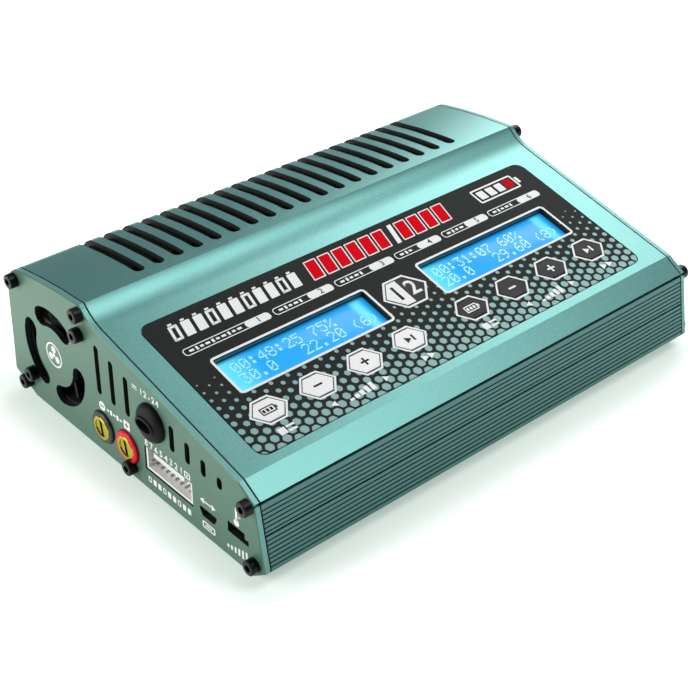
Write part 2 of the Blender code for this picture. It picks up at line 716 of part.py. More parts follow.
# ---------------------------------------------------------------- lower shell
def lower_section():
    outer = [on_wall(0.0, JOINT_W)]
    cuts = [(UPPER_RIBS_AT + i * RIB_PITCH, RIB_GROOVE_W, RIB_GROOVE_D) for i in range(UPPER_RIBS)]
    cuts.append((WIDE_GROOVE_AT, WIDE_GROOVE_W, WIDE_GROOVE_D))
    cuts += [(LOWER_RIBS_AT + i * RIB_PITCH, RIB_GROOVE_W, RIB_GROOVE_D) for i in range(LOWER_RIBS)]
    for at, width, depth in cuts:
        outer.append(on_wall(0.0, at - width / 2))
        outer.append(on_wall(depth, at - width / 4))
        outer.append(on_wall(depth, at + width / 4))
        outer.append(on_wall(0.0, at + width / 2))
    top = back_at(BACK_SPLIT_Z - SEAT)
    outer += [SKIRT, (SKIRT_RUN, 0.0), TAIL_FOOT, TAIL, top]
    smooth = offset_path([top, TAIL, TAIL_FOOT, (SKIRT_RUN, 0.0), SKIRT, JOINT], WALL)
    ledge = TONGUE_L + SEAT
    inner = smooth[:3]
    for y in sorted(RAIL_Y, reverse=True):
        inner += [(y + RAIL_W / 2, WALL), (y + RAIL_W / 2, PCB_Z - SEAT),
                  (y - RAIL_W / 2, PCB_Z - SEAT), (y - RAIL_W / 2, WALL)]
    inner += smooth[3:5]
    inner += [on_wall(WALL, ledge), on_wall(LIP_T, ledge), on_wall(LIP_T, JOINT_W)]
    return outer + inner


def build_lower_shell():
    bm = bmesh.new()
    extrude_loop(bm, lift(lower_section()), "X", -SHELL_HALF, SHELL_HALF)
    shell = new_object("lower_shell", bm, "anodised_teal")
    port_solids("lower", ("skirt", "floor", "tail"), shell)
    return shell


def build_feet():
    for side, end in ((-1, "left"), (1, "right")):
        for y, row in ((FOOT_INSET_Y, "front"), (CASE_DEPTH - FOOT_INSET_Y, "back")):
            bm = bmesh.new()
            revolve(bm, [(0.0, 0.0), (FOOT_R - 0.6, 0.0), (FOOT_R, 0.4), (FOOT_R, FOOT_H), (0.0, FOOT_H)], 12)
            foot = new_object("foot_" + row + "_" + end, bm, "foot_rubber", smooth=40)
            foot.location = (side * (HALF - FOOT_INSET_X) * MM, (y - MID_Y) * MM, 0.0)


# ----------------------------------------------------------------- end plates
def plate_outline(inset):
    """Case outline with the joint's notch, drawn in by an even inset."""
    notch = 0.9
    path = [(SKIRT_RUN, 0.0), SKIRT, on_wall(0.0, JOINT_W), on_wall(notch, JOINT_W), on_wall(notch, 0.0)]
    path += [JOINT] + OVER + [TAIL, TAIL_FOOT]
    ring = [path[-1]] + path + [path[0]]
    return offset_path(ring, inset)[1:-1] if inset else path


def plate_cuts(side):
    """Everything that goes through an end plate."""
    loops = [circle(y, z, SHANK_R + SHANK_GAP, 8) for y, z in SCREWS.values()]
    loops += [circle(y, z, SHANK_R + SHANK_GAP, 8) for y, z in FAN_SCREWS.values()]
    for first, last in GRILLE_ARCS:
        loops.append(arc_slot(*GRILLE_CENTRE, GRILLE_R, GRILLE_W, first, last))
    for i in range(SIDE_VENTS):
        y = SIDE_VENT_Y + i * SIDE_VENT_PITCH
        if side < 0 and abs(y - CABLE_Y) < GROMMET_R + SIDE_VENT_W / 2:
            continue
        high = panel_line(y) - SIDE_VENT_MARGIN
        loops.append(rounded(y, (SIDE_VENT_Z + high) / 2, SIDE_VENT_W, high - SIDE_VENT_Z,
                             SIDE_VENT_W / 2 - 0.05, 2))
    if side < 0:
        loops.append(circle(CABLE_Y, CABLE_Z, GROMMET_NECK_R + SEAT, 14))
    for y in (SOCKET_NEG_Y, SOCKET_POS_Y):
        loops.append(circle(y, SOCKET_Z, SOCKET_NECK_R + SEAT, 14))
    loops.append(rounded(BALANCE_Y, BALANCE_Z, BALANCE_W, BALANCE_H, 0.2, 1))
    loops.append(usb_outline(0.0))
    loops.append(temp_outline())
    return loops


def usb_outline(shrink):
    """Micro socket outline: wide at the top, corners cut below."""
    half, high, low = USB_W / 2 - shrink, USB_H / 2 - shrink, -USB_H / 2 + shrink
    return [(USB_Y + dy, USB_Z + dz) for dy, dz in
            ((-half, high), (half, high), (half, high - USB_SIDE), (half - USB_NIP, low),
             (-half + USB_NIP, low), (-half, high - USB_SIDE))]


def temp_outline():
    """Keyed three-pin socket: a step at its front end."""
    front, back = TEMP_Y - TEMP_W / 2, TEMP_Y + TEMP_W / 2
    low, high = TEMP_Z - TEMP_H / 2, TEMP_Z + TEMP_H / 2
    return [(front, low), (back, low), (back, high), (front + TEMP_STEP_W, high),
            (front + TEMP_STEP_W, low + TEMP_STEP_H), (front, low + TEMP_STEP_H)]


def build_end_plate(side, name):
    bm = bmesh.new()
    stations = ((HALF, PLATE_EDGE), (HALF - PLATE_EDGE, 0.0), (HALF - PLATE_T, 0.0))
    loft(bm, [[(side * x, y, z) for y, z in lift(plate_outline(inset))] for x, inset in stations])
    plate = new_object(name, bm, "anodised_plate")
    tools = bmesh.new()
    for loop in plate_cuts(side):
        extrude_loop(tools, lift(loop), "X", side * (HALF - PLATE_T - 1.0), side * (HALF + 1.0))
    cut(plate, new_object(name + "_cut", tools))
    plate.modifiers[-1].use_self = True
    return plate


# -------------------------------------------------------------------- screws
def build_screw(name, side, y, z):
    """Socket head cap screw: under its head lies the plate."""
    bm = bmesh.new()
    key = KEY_AF / 2
    profile = [(0.0, HEAD_H - KEY_DEPTH), (key, HEAD_H - KEY_DEPTH), (key, HEAD_H),
               (HEAD_R - HEAD_BEVEL, HEAD_H), (HEAD_R, HEAD_H - HEAD_BEVEL), (HEAD_R, 0.0),
               (SHANK_R, 0.0), (SHANK_R, -SHANK_L), (0.0, -SHANK_L)]
    revolve(bm, profile, 12, hexed=(1, 2))
    screw = new_object(name, bm, "black_steel", smooth=35)
    py, pz = lift([(y, z)])[0]
    screw.matrix_world = outward(side, (HALF + 0.1) * MM, py * MM, pz * MM)
    return screw


# ---------------------------------------------------------------------- fans
def build_fan(side, end):
    cy, cz = FAN_CENTRE
    face = HALF - PLATE_T - SEAT
    back = face - FAN_DEPTH
    size = FAN_SIZE
    bm = bmesh.new()
    extrude_loop(bm, lift(rounded(cy, cz, size, size, FAN_CORNER_R, 4)), "X", side * back, side * face)
    body = new_object("fan_frame_" + end, bm, "black_plastic", smooth=30)
    tools = bmesh.new()
    extrude_loop(tools, lift(circle(cy, cz, FAN_DUCT_R, 28)), "X", side * (back - 1), side * (face + 1))
    for dy in (-1, 1):
        for dz in (-1, 1):
            spot = (cy + dy * FAN_PITCH / 2, cz + dz * FAN_PITCH / 2)
            extrude_loop(tools, lift(circle(*spot, SHANK_R + SEAT, 8)), "X", side * (back - 1),
                         side * (face + 1))
    cut(body, new_object("fan_duct_cut_" + end, tools))
    relief = bmesh.new()
    for key in ("top", "tail"):
        extrude_loop(relief, lift(circle(*SCREWS[key], PORT_R + SEAT, 12)), "X", side * (back - 1),
                     side * (face + 1))
    cut(body, new_object("fan_relief_cut_" + end, relief))
    arms = []
    for arm in range(3):
        angle = math.radians(90 + 120 * arm)
        out_r = FAN_DUCT_R + 0.4
        half = FAN_SPOKE_W / 2
        for r, w in ((4.0, -half), (out_r, -half), (out_r, half), (4.0, half)):
            arms.append((cy + r * math.cos(angle) - w * math.sin(angle),
                         cz + r * math.sin(angle) + w * math.cos(angle)))
    spider = bmesh.new()
    extrude_loop(spider, lift(arms), "X", side * back, side * (back + FAN_BASE_T))
    cut(body, new_object("fan_spider_blank_" + end, spider), "UNION")
    py, pz = lift([(cy, cz)])[0]
    motor = bmesh.new()
    base = [(0.0, 0.0), (ROTOR_HUB_R, 0.0), (ROTOR_HUB_R, FAN_BASE_T + 0.2), (PIN_R, FAN_BASE_T + 0.2),
            (PIN_R, FAN_BASE_T + SEAT + PIN_L), (0.0, FAN_BASE_T + SEAT + PIN_L)]
    spot = outward(side, back, py, pz)
    revolve(motor, base, 16, place=spot)
    cut(body, new_object("fan_motor_blank_" + end, motor), "UNION")
    build_rotor(side, end, back + FAN_BASE_T + 0.2 + SEAT, py, pz)
    return body


def build_rotor(side, end, start, py, pz):
    """Impeller: hub and swept blades as one twisted loft, with its shaft hole."""
    tip = FAN_DUCT_R - ROTOR_TIP_GAP
    steps = 4
    rings = []
    for k in range(steps + 1):
        turn = math.radians(ROTOR_TWIST) * k / steps
        ring = []
        for blade in range(ROTOR_BLADES):
            base = turn + math.tau * blade / ROTOR_BLADES
            root_half = BLADE_T / 2 / ROTOR_HUB_R
            tip_half = BLADE_T / 2 / tip
            for r, a in ((ROTOR_HUB_R, -root_half), (tip, -tip_half - 0.05), (tip, tip_half - 0.05),
                         (ROTOR_HUB_R, root_half)):
                ring.append((r * math.cos(base + a), r * math.sin(base + a), ROTOR_L * k / steps))
            gap = math.tau / ROTOR_BLADES - 2 * root_half
            for i in (1,):
                a = root_half + gap / 2
                ring.append((ROTOR_HUB_R * math.cos(base + a), ROTOR_HUB_R * math.sin(base + a),
                             ROTOR_L * k / steps))
        rings.append(ring)
    bm = bmesh.new()
    loft(bm, rings)
    rotor = new_object("fan_rotor_" + end, bm, "black_plastic", smooth=35)
    rotor.matrix_world = outward(side, start * MM, py * MM, pz * MM)
    bore = bmesh.new()
    extrude_loop(bore, circle(0.0, 0.0, PIN_R + SEAT, 12), "Z", -1.0, PIN_L + 0.6)
    drill = new_object("rotor_bore_cut_" + end, bore)
    drill.matrix_world = rotor.matrix_world.copy()
    cut(rotor, drill)
    return rotor


# ---------------------------------------------------------------- connectors
def build_sockets(side, end):
    for pole, y, slot in (("neg", SOCKET_NEG_Y, "socket_grey"), ("pos", SOCKET_POS_Y, "socket_red")):
        py, pz = lift([(y, SOCKET_Z)])[0]
        bm = bmesh.new()
        low = -PLATE_T - SOCKET_DEPTH + SOCKET_FLANGE
        profile = [(SOCKET_BORE_R, low), (SOCKET_BORE_R, SOCKET_FLANGE), (SOCKET_R - 0.4, SOCKET_FLANGE),
                   (SOCKET_R, SOCKET_FLANGE - 0.4), (SOCKET_R, 0.0), (SOCKET_NECK_R, 0.0),
                   (SOCKET_NECK_R, low), (SOCKET_BORE_R, low)]
        revolve(bm, profile, 18)
        ring = new_object("socket_" + pole + "_" + end, bm, slot, smooth=35)
        ring.matrix_world = outward(side, (HALF + 0.1) * MM, py * MM, pz * MM)
        if pole == "pos":
            bite = bmesh.new()
            extrude_loop(bite, lift(circle(*SCREWS["floor"], HEAD_R + SEAT, 20)), "X", side * (HALF - 0.5),
                         side * (HALF + SOCKET_FLANGE + 1.0))
            cut(ring, new_object("socket_bite_cut_" + end, bite))
        pin = bmesh.new()
        top = SOCKET_FLANGE - CONTACT_SET_IN
        foot = top - CONTACT_L
        profile = [(0.0, foot), (CONTACT_R, foot), (CONTACT_R, top - 0.3), (CONTACT_R - 0.3, top),
                   (CONTACT_BORE_R + 0.3, top), (CONTACT_BORE_R, top - 0.4), (CONTACT_BORE_R, foot + 2.0),
                   (0.0, foot + 2.0)]
        revolve(pin, profile, 14)
        contact = new_object("contact_" + pole + "_" + end, pin, "contact_gold", smooth=35)
        contact.matrix_world = ring.matrix_world.copy()
        saw = bmesh.new()
        extrude_loop(saw, rounded(0.0, 0.0, CONTACT_SLOT_W, 2 * CONTACT_R + 2.0, 0.1, 1), "Z",
                     top - CONTACT_SLOT_L, top + 1.0)
        blade = new_object("contact_slot_cut_" + pole + "_" + end, saw)
        blade.matrix_world = contact.matrix_world @ Matrix.Rotation(math.radians(-40 * side), 4, "Z")
        cut(contact, blade)


def build_grommet():
    """Domed rubber grommet with the flat twin cable's opening."""
    bm = bmesh.new()
    inner = -PLATE_T - 2 * SEAT
    profile = [(0.0, GROMMET_DOME), (GROMMET_TIP_R - 0.4, GROMMET_DOME), (GROMMET_TIP_R, GROMMET_DOME - 0.3),
               (GROMMET_TIP_R + 0.9, GROMMET_DOME - 1.3), (GROMMET_R - 0.2, 1.0), (GROMMET_R, 0.6),
               (GROMMET_R, 0.0), (GROMMET_NECK_R, 0.0), (GROMMET_NECK_R, inner),
               (GROMMET_R - 0.3, inner), (GROMMET_R - 0.8, inner - 1.6), (0.0, inner - 1.6)]
    revolve(bm, profile, 22)
    grommet = new_object("cable_grommet", bm, "grommet_rubber", smooth=45)
    py, pz = lift([(CABLE_Y, CABLE_Z)])[0]
    grommet.matrix_world = outward(-1, (HALF + 0.1) * MM, py * MM, pz * MM)
    slot = bmesh.new()
    loop = rounded(CABLE_Y, CABLE_Z, CABLE_SLOT_W, CABLE_SLOT_H, CABLE_SLOT_H / 2 - 0.05, 5)
    extrude_loop(slot, lift(loop), "X", -HALF - 2 * GROMMET_DOME, -HALF + 3 * PLATE_T)
    cut(grommet, new_object("cable_slot_cut", slot))


def box_loop(y0, y1, z0, z1):
    return [(y0, z0), (y1, z0), (y1, z1), (y0, z1)]


def build_ports(side, end):
    face = HALF - PLATE_T - SEAT
    back = BOARD_HALF + SEAT
    pocket = back + PORT_POCKET
    clear = PORT_CLEAR
    # balance header: tray with a thick keyed upper wall
    y0, y1 = BALANCE_Y - BALANCE_W / 2 + clear, BALANCE_Y + BALANCE_W / 2 - clear
    z0, z1 = BALANCE_Z - BALANCE_H / 2 + clear, BALANCE_Z + BALANCE_H / 2 - clear
    bm = bmesh.new()
    extrude_loop(bm, lift(box_loop(y0, y1, z0, z1)), "X", side * back, side * face)
    header = new_object("balance_port_" + end, bm, "connector_white")
    tools = bmesh.new()
    cavity = box_loop(y0 + BALANCE_WALL, y1 - BALANCE_WALL, z0 + BALANCE_WALL, z1 - BALANCE_TOP_WALL)
    extrude_loop(tools, lift(cavity), "X", side * pocket, side * (face + 1))
    cut(header, new_object("balance_cavity_cut_" + end, tools))
    notch = bmesh.new()
    for y in (y0 + BALANCE_KEY_IN, y1 - BALANCE_KEY_IN):
        half = BALANCE_KEY_W / 2
        loop = box_loop(y - half, y + half, z1 - 1.2 * BALANCE_TOP_WALL, z1 + 1.0)
        extrude_loop(notch, lift(loop), "X", side * (face - BALANCE_KEY_L), side * (face + 1))
    cut(header, new_object("balance_notch_cut_" + end, notch))
    # micro socket: metal shell round a tongue
    bm = bmesh.new()
    extrude_loop(bm, lift(usb_outline(0.2)), "X", side * back, side * face)
    port = new_object("usb_port_" + end, bm, "bright_steel")
    tools = bmesh.new()
    extrude_loop(tools, lift(usb_outline(0.2 + USB_SHELL_T)), "X", side * pocket, side * (face + 1))
    cut(port, new_object("usb_cavity_cut_" + end, tools))
    tongue = bmesh.new()
    half = USB_TONGUE_W / 2
    loop = box_loop(USB_Y - half, USB_Y + half, USB_Z, USB_Z + USB_TONGUE_T)
    extrude_loop(tongue, lift(loop), "X", side * (pocket - 0.5), side * (face - 1.0))
    cut(port, new_object("usb_tongue_blank_" + end, tongue), "UNION")
    # temperature probe socket
    y0, y1 = TEMP_Y - TEMP_W / 2 - TEMP_WALL, TEMP_Y + TEMP_W / 2 + TEMP_WALL
    z0, z1 = TEMP_Z - TEMP_H / 2 - TEMP_WALL, TEMP_Z + TEMP_H / 2 + TEMP_WALL
    bm = bmesh.new()
    extrude_loop(bm, lift(box_loop(y0, y1, z0, z1)), "X", side * back, side * face)
    probe = new_object("temp_port_" + end, bm, "black_plastic")
    tools = bmesh.new()
    extrude_loop(tools, lift(temp_outline()), "X", side * pocket, side * (face + 1))
    cut(probe, new_object("temp_cavity_cut_" + end, tools))


# -------------------------------------------------------------- display panel
def build_label(frame):
    bm = bmesh.new()
    x, s, width, height = label_box()
    low = -LABEL_SINK + SEAT
    extrude_loop(bm, rounded(x, s, width - SEAT, height - SEAT, LABEL_CORNER_R), "Z", low, low + LABEL_T)
    label = on_panel(new_object("label_overlay", bm, "label_film"), frame)
    holes = bmesh.new()
    panel_holes(holes, low - 1.0, low + LABEL_T + 1.0, 0.0)
    cut(label, on_panel(new_object("label_opening_cut", holes), frame))


def build_displays(frame):
    top = -WALL - SEAT
    for x, end in zip(WINDOW_X, ("left", "right")):
        bm = bmesh.new()
        width, height = WINDOW_W + 2 * LCD_BEZEL, WINDOW_H + 2 * LCD_BEZEL
        extrude_loop(bm, rounded(0.0, 0.0, width, height, 0.5, 1), "Z", top - LCD_T, top)
        module = on_panel(new_object("lcd_module_" + end, bm, "lcd_blue"), frame, (x, WINDOW_S, 0.0))
        well = bmesh.new()
        extrude_loop(well, rounded(0.0, 0.0, WINDOW_W, WINDOW_H, WINDOW_R, 3), "Z", top - LCD_RECESS, top + 1)
        cut(module, on_panel(new_object("lcd_well_cut_" + end, well), frame, (x, WINDOW_S, 0.0)))


def build_key(name, frame, x, s, width, height, slot):
    """Key cap, retaining flange under the panel and round stem, as one loft."""
    top = -LABEL_SINK + SEAT + LABEL_T + KEY_PROUD
    under = -WALL - SEAT
    foot = under - KEY_FLANGE_T
    stem = PANEL_PCB_TOP + SWITCH_TO_STEM + 1.5
    bm = bmesh.new()
    cap = stretched_hexagon(0.0, 0.0, width, height)
    lip = stretched_hexagon(0.0, 0.0, width + 2 * (KEY_GAP + KEY_FLANGE), height + 2 * (KEY_GAP + KEY_FLANGE))
    soft = stretched_hexagon(0.0, 0.0, width - 0.3, height - 0.3)
    post = [(KEY_STEM_R * math.cos(math.radians(60 * i)), KEY_STEM_R * math.sin(math.radians(60 * i)))
            for i in range(6)]
    levels = [(soft, top), (cap, top - 0.15), (cap, under), (lip, under), (lip, foot), (post, foot),
              (post, stem)]
    loft(bm, [[(px, py, z) for px, py in loop] for loop, z in levels])
    return on_panel(new_object(name, bm, slot), frame, (x, s, 0.0))


def build_panel(frame):
    build_label(frame)
    build_displays(frame)
    for i, x in enumerate(KEY_X):
        slot = "key_white" if i < KEYS_PER_CHANNEL else "key_black"
        build_key("key_" + str(i + 1), frame, x, KEY_S, KEY_W, KEY_H, slot)
    build_key("key_channel", frame, LABEL_MID, CHANNEL_S, CHANNEL_W, CHANNEL_H, "key_white")
    bm = bmesh.new()
    reach = LABEL_HALF - PANEL_PCB_MARGIN
    board = box_loop(LABEL_MID - reach, LABEL_MID + reach, PANEL_PCB_LOW, PANEL_PCB_HIGH)
    extrude_loop(bm, board, "Z", PANEL_PCB_TOP - PANEL_PCB_T, PANEL_PCB_TOP)
    pcb = on_panel(new_object("display_board", bm, "circuit_board"), frame)
    switches = bmesh.new()
    half = SWITCH_SIZE / 2
    for x, s in [(x, KEY_S) for x in KEY_X] + [(LABEL_MID, CHANNEL_S)]:
        extrude_loop(switches, box_loop(x - half, x + half, s - half, s + half), "Z", PANEL_PCB_TOP - 0.5,
                     PANEL_PCB_TOP + 1.5)
    cut(pcb, on_panel(new_object("switch_blank", switches), frame), "UNION")


def build_main_board():
    bm = bmesh.new()
    extrude_loop(bm, lift(box_loop(PCB_FRONT, PCB_BACK, PCB_Z, PCB_Z + PCB_T)), "X", -BOARD_HALF, BOARD_HALF)
    new_object("main_board", bm, "circuit_board")


def main():
    for obj in list(bpy.data.objects):
        bpy.data.objects.remove(obj, do_unlink=True)
    frame = panel_frame()
    build_upper_shell(frame)
    build_lower_shell()
    build_dust_screen()
    build_feet()
    build_panel(frame)
    build_main_board()
    build_grommet()
    for side, end in ((-1, "left"), (1, "right")):
        build_end_plate(side, "end_plate_" + end)
        for key, (y, z) in SCREWS.items():
            build_screw("plate_screw_" + key + "_" + end, side, y, z)
        for key, (y, z) in FAN_SCREWS.items():
            build_screw("fan_screw_" + key + "_" + end, side, y, z)
        build_fan(side, end)
        build_sockets(side, end)
        build_ports(side, end)


main()
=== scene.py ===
"""Balance battery charger: finish pieces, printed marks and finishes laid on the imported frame."""
import math

import bmesh
import bpy
from mathutils import Matrix, Vector


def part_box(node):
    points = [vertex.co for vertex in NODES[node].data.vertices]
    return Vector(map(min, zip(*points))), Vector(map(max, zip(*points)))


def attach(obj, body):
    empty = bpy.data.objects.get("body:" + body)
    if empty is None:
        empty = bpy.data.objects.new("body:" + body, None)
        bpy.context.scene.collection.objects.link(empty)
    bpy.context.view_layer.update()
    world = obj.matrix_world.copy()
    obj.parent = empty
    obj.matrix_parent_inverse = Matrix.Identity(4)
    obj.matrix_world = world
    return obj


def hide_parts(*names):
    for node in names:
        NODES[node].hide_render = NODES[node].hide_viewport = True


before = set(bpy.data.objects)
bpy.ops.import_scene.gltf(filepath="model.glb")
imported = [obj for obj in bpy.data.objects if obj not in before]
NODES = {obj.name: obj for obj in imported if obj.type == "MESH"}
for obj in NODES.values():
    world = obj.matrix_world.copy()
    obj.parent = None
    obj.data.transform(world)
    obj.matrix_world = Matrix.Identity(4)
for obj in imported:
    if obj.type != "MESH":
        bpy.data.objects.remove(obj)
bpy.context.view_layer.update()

bl_info = {
    "name": "Balance battery charger",
    "version": (1, 0, 0),
    "blender": (4, 5, 0),
    "location": "3D View > Sidebar > Charger",
    "description": "Adds the finish pieces, marks and finishes of a two-channel balance charger",
    "category": "Object",
}

MM = 0.001
LEFT, RIGHT = -1, 1

# landmarks of the case in metres: x to its right end, y to the back, z up
CASE_END = 0.099
HALF_DEPTH = 0.0693
PANEL_Y, PANEL_Z = -0.057571, 0.033677
COVE_START, ROOF_EDGE = 0.0132, 0.0224
CORNER_START, CORNER_END = 0.05945, 0.06754

# the sloped panel: x from the left end of the case, y up the slope, z out of the film
SLOPE = math.radians(12.8)
PANEL = Matrix.Translation((-CASE_END, PANEL_Y, PANEL_Z)) @ Matrix.Rotation(SLOPE, 4, "X")
FILM_TOP = 0.05
KEY_TOP = 0.20
GLASS = -3.5
WINDOW_X = (54.85, 142.75)
WINDOW_S = 35.8
SCREEN_SIZE = (62.3, 15.1)
KEY_S = 17.75

# the end plates' outer faces: x to the viewer's right, y up, z outwards
PLATE = {
    LEFT: Matrix(((0, 0, -1, -CASE_END), (-1, 0, 0, 0), (0, 1, 0, 0), (0, 0, 0, 1))),
    RIGHT: Matrix(((0, 0, 1, CASE_END), (1, 0, 0, 0), (0, 1, 0, 0), (0, 0, 0, 1))),
}
SIDE_NAME = {LEFT: "left", RIGHT: "right"}


def linear(red, green, blue):
    """Linear colour from 8-bit display values."""
    out = []
    for value in (red, green, blue):
        value /= 255.0
        out.append(value / 12.92 if value <= 0.04045 else ((value + 0.055) / 1.055) ** 2.4)
    return tuple(out)


def colour_property(name, description, *rgb):
    return bpy.props.FloatVectorProperty(name=name, description=description, subtype="COLOR",
                                         size=3, min=0.0, max=1.0, default=linear(*rgb))


def length_property(name, description, millimetres):
    return bpy.props.FloatProperty(name=name, description=description, subtype="DISTANCE",
                                   unit="LENGTH", precision=5, min=0.0, default=millimetres * MM)


class ChargerColours(bpy.types.PropertyGroup):
    case: colour_property("Case", "Anodising of the extruded shells", 106, 160, 156)
    plate: colour_property("End plates", "Anodising of the milled end plates", 88, 121, 103)
    film: colour_property("Label film", "Dark ground of the printed label", 41, 45, 43)
    white_ink: colour_property("White ink", "Printed marks on label and end plates", 254, 255, 255)
    red_ink: colour_property("Red ink", "Red printed marks", 228, 18, 34)
    screen: colour_property("Screen", "Backlight of the displays", 30, 170, 244)
    screen_glow: colour_property("Screen glow", "Bright ends of the backlight", 104, 236, 255)
    digits: colour_property("Screen digits", "Lit digits", 156, 228, 255)
    key_light: colour_property("Light keys", "Caps of the first channel", 253, 254, 254)
    key_dark: colour_property("Dark keys", "Caps of the second channel", 29, 31, 30)
    socket_red: colour_property("Positive socket", "Moulded ring of the positive output", 240, 26, 60)
    socket_grey: colour_property("Negative socket", "Moulded ring of the negative output", 42, 44, 47)
    gold: colour_property("Contacts", "Plated contacts", 198, 178, 46)
    rubber: colour_property("Rubber", "Grommet and feet", 13, 14, 16)


class ChargerSizes(bpy.types.PropertyGroup):
    ink: length_property("Ink", "Thickness of the printed marks", 0.04)
    head_radius: length_property("Screw head radius", "Cap screw head", 2.6)
    head_height: length_property("Screw head height", "Cap screw head", 2.8)
    hex_socket: length_property("Hex socket", "Corner radius of the drive", 1.3)
    screen_height: length_property("Backlight", "Thickness of the lit screen", 1.5)
    dot: length_property("Screen dot", "Side of one dot of the display", 0.5)
    dot_pitch: length_property("Screen dot pitch", "Spacing of the dots", 0.59)
    dome_radius: length_property("Grommet radius", "Foot of the cable grommet", 6.8)


def colours():
    return bpy.context.scene.charger_colours


def sizes():
    return bpy.context.scene.charger_sizes


# --- shader maths
class Shade:
    """A shader value that takes Python's operators; node() adds any other node."""

    def __init__(self, tree, socket=None):
        self.tree, self.socket = tree, socket

    def node(self, kind, settings=None, inputs=None, output=0):
        made = self.tree.nodes.new(kind)
        for key, value in (settings or {}).items():
            setattr(made, key, value)
        for key, value in (inputs or {}).items():
            if isinstance(value, Shade):
                self.tree.links.new(value.socket, made.inputs[key])
            else:
                made.inputs[key].default_value = value
        return Shade(self.tree, made.outputs[output])

    def maths(self, operation, *values):
        return self.node("ShaderNodeMath", {"operation": operation}, dict(enumerate(values)))

    def __add__(self, other): return self.maths("ADD", self, other)
    def __radd__(self, other): return self.maths("ADD", other, self)
    def __sub__(self, other): return self.maths("SUBTRACT", self, other)
    def __rsub__(self, other): return self.maths("SUBTRACT", other, self)
    def __mul__(self, other): return self.maths("MULTIPLY", self, other)
    def __rmul__(self, other): return self.maths("MULTIPLY", other, self)
    def __abs__(self): return self.maths("ABSOLUTE", self)

    def smooth(self, low, high):
        """0 below low, 1 above high, or the other way round."""
        start, end = (0.0, 1.0) if low < high else (1.0, 0.0)
        return self.node("ShaderNodeMapRange", {"interpolation_type": "SMOOTHSTEP"},
                         {0: self, 1: min(low, high), 2: max(low, high), 3: start, 4: end})

    def split(self):
        made = self.node("ShaderNodeSeparateXYZ", None, {0: self})
        return [Shade(self.tree, made.socket.node.outputs[i]) for i in range(3)]

    def between(self, factor, first, second):
        """Colour mixed by a factor."""
        return self.node("ShaderNodeMix", {"data_type": "RGBA"},
                         {0: factor, 6: first, 7: second}, output=2)


def bare_tree(owner):
    """Empties the node tree of a material or world."""
    owner.use_nodes = True
    owner.node_tree.nodes.clear()
    return Shade(owner.node_tree)


def shown_by(kind, mixed):
    """Links a mixed shader to the tree's output."""
    out = mixed.tree.nodes.new(kind)
    mixed.tree.links.new(mixed.socket, out.inputs["Surface"])


def rgba(colour, scale=1.0):
    return tuple(min(1.0, channel * scale) for channel in tuple(colour)[:3]) + (1.0,)


def finish(name, roughness=0.5, metallic=0.0, gloss=0.5):
    """A new material; returns it, its Object coordinates and its shader's inputs."""
    made = bpy.data.materials.new(name)
    made.use_nodes = True
    inputs = made.node_tree.nodes["Principled BSDF"].inputs
    inputs["Roughness"].default_value = roughness
    inputs["Metallic"].default_value = metallic
    inputs["Specular IOR Level"].default_value = gloss
    return made, Shade(made.node_tree).node("ShaderNodeTexCoord", output=3), inputs


def feed(inputs, **values):
    for key, value in values.items():
        value.tree.links.new(value.socket, inputs[key.replace("_", " ")])


def grain(place, scale, detail=2.0, **more):
    return place.node("ShaderNodeTexNoise", None,
                      {"Vector": place, "Scale": scale, "Detail": detail, **more})


def bump(place, height, strength, distance, normal=None):
    inputs = {"Height": height, "Strength": strength, "Distance": distance}
    if normal:
        inputs["Normal"] = normal
    return place.node("ShaderNodeBump", None, inputs)


def drawn_curve(place):
    """Normal of the extruded profile: across each arc its slant grows evenly with y.

    The walls of slots and windows, the ends and the front keep their own normal."""
    _, y, _ = place.split()
    flat = place.node("ShaderNodeNewGeometry", output=3).split()

    def slant(start, end, first, last):
        return place.node("ShaderNodeMapRange", None, {0: y, 1: start, 2: end, 3: first, 4: last})
    cove = slant(COVE_START, ROOF_EDGE, -0.2215, -0.7434)
    roof = (slant(ROOF_EDGE, CORNER_START, 0.0454, 0.19)
            + slant(CORNER_START, CORNER_END, 0.0, 0.8087))
    behind = y.maths("GREATER_THAN", y, ROOF_EDGE)
    along = cove * (1.0 - behind) + roof * behind
    up = along.maths("SQRT", along.maths("MAXIMUM", 1.0 - along * along, 0.0))
    shown = (y.maths("GREATER_THAN", flat[2], 0.06) * y.maths("LESS_THAN", abs(flat[0]), 0.05)
             * y.maths("GREATER_THAN", y, -0.057))
    own = 1.0 - shown
    return place.node("ShaderNodeCombineXYZ", None,
                      {0: flat[0] * own, 1: flat[1] * own + along * shown,
                       2: flat[2] * own + up * shown})


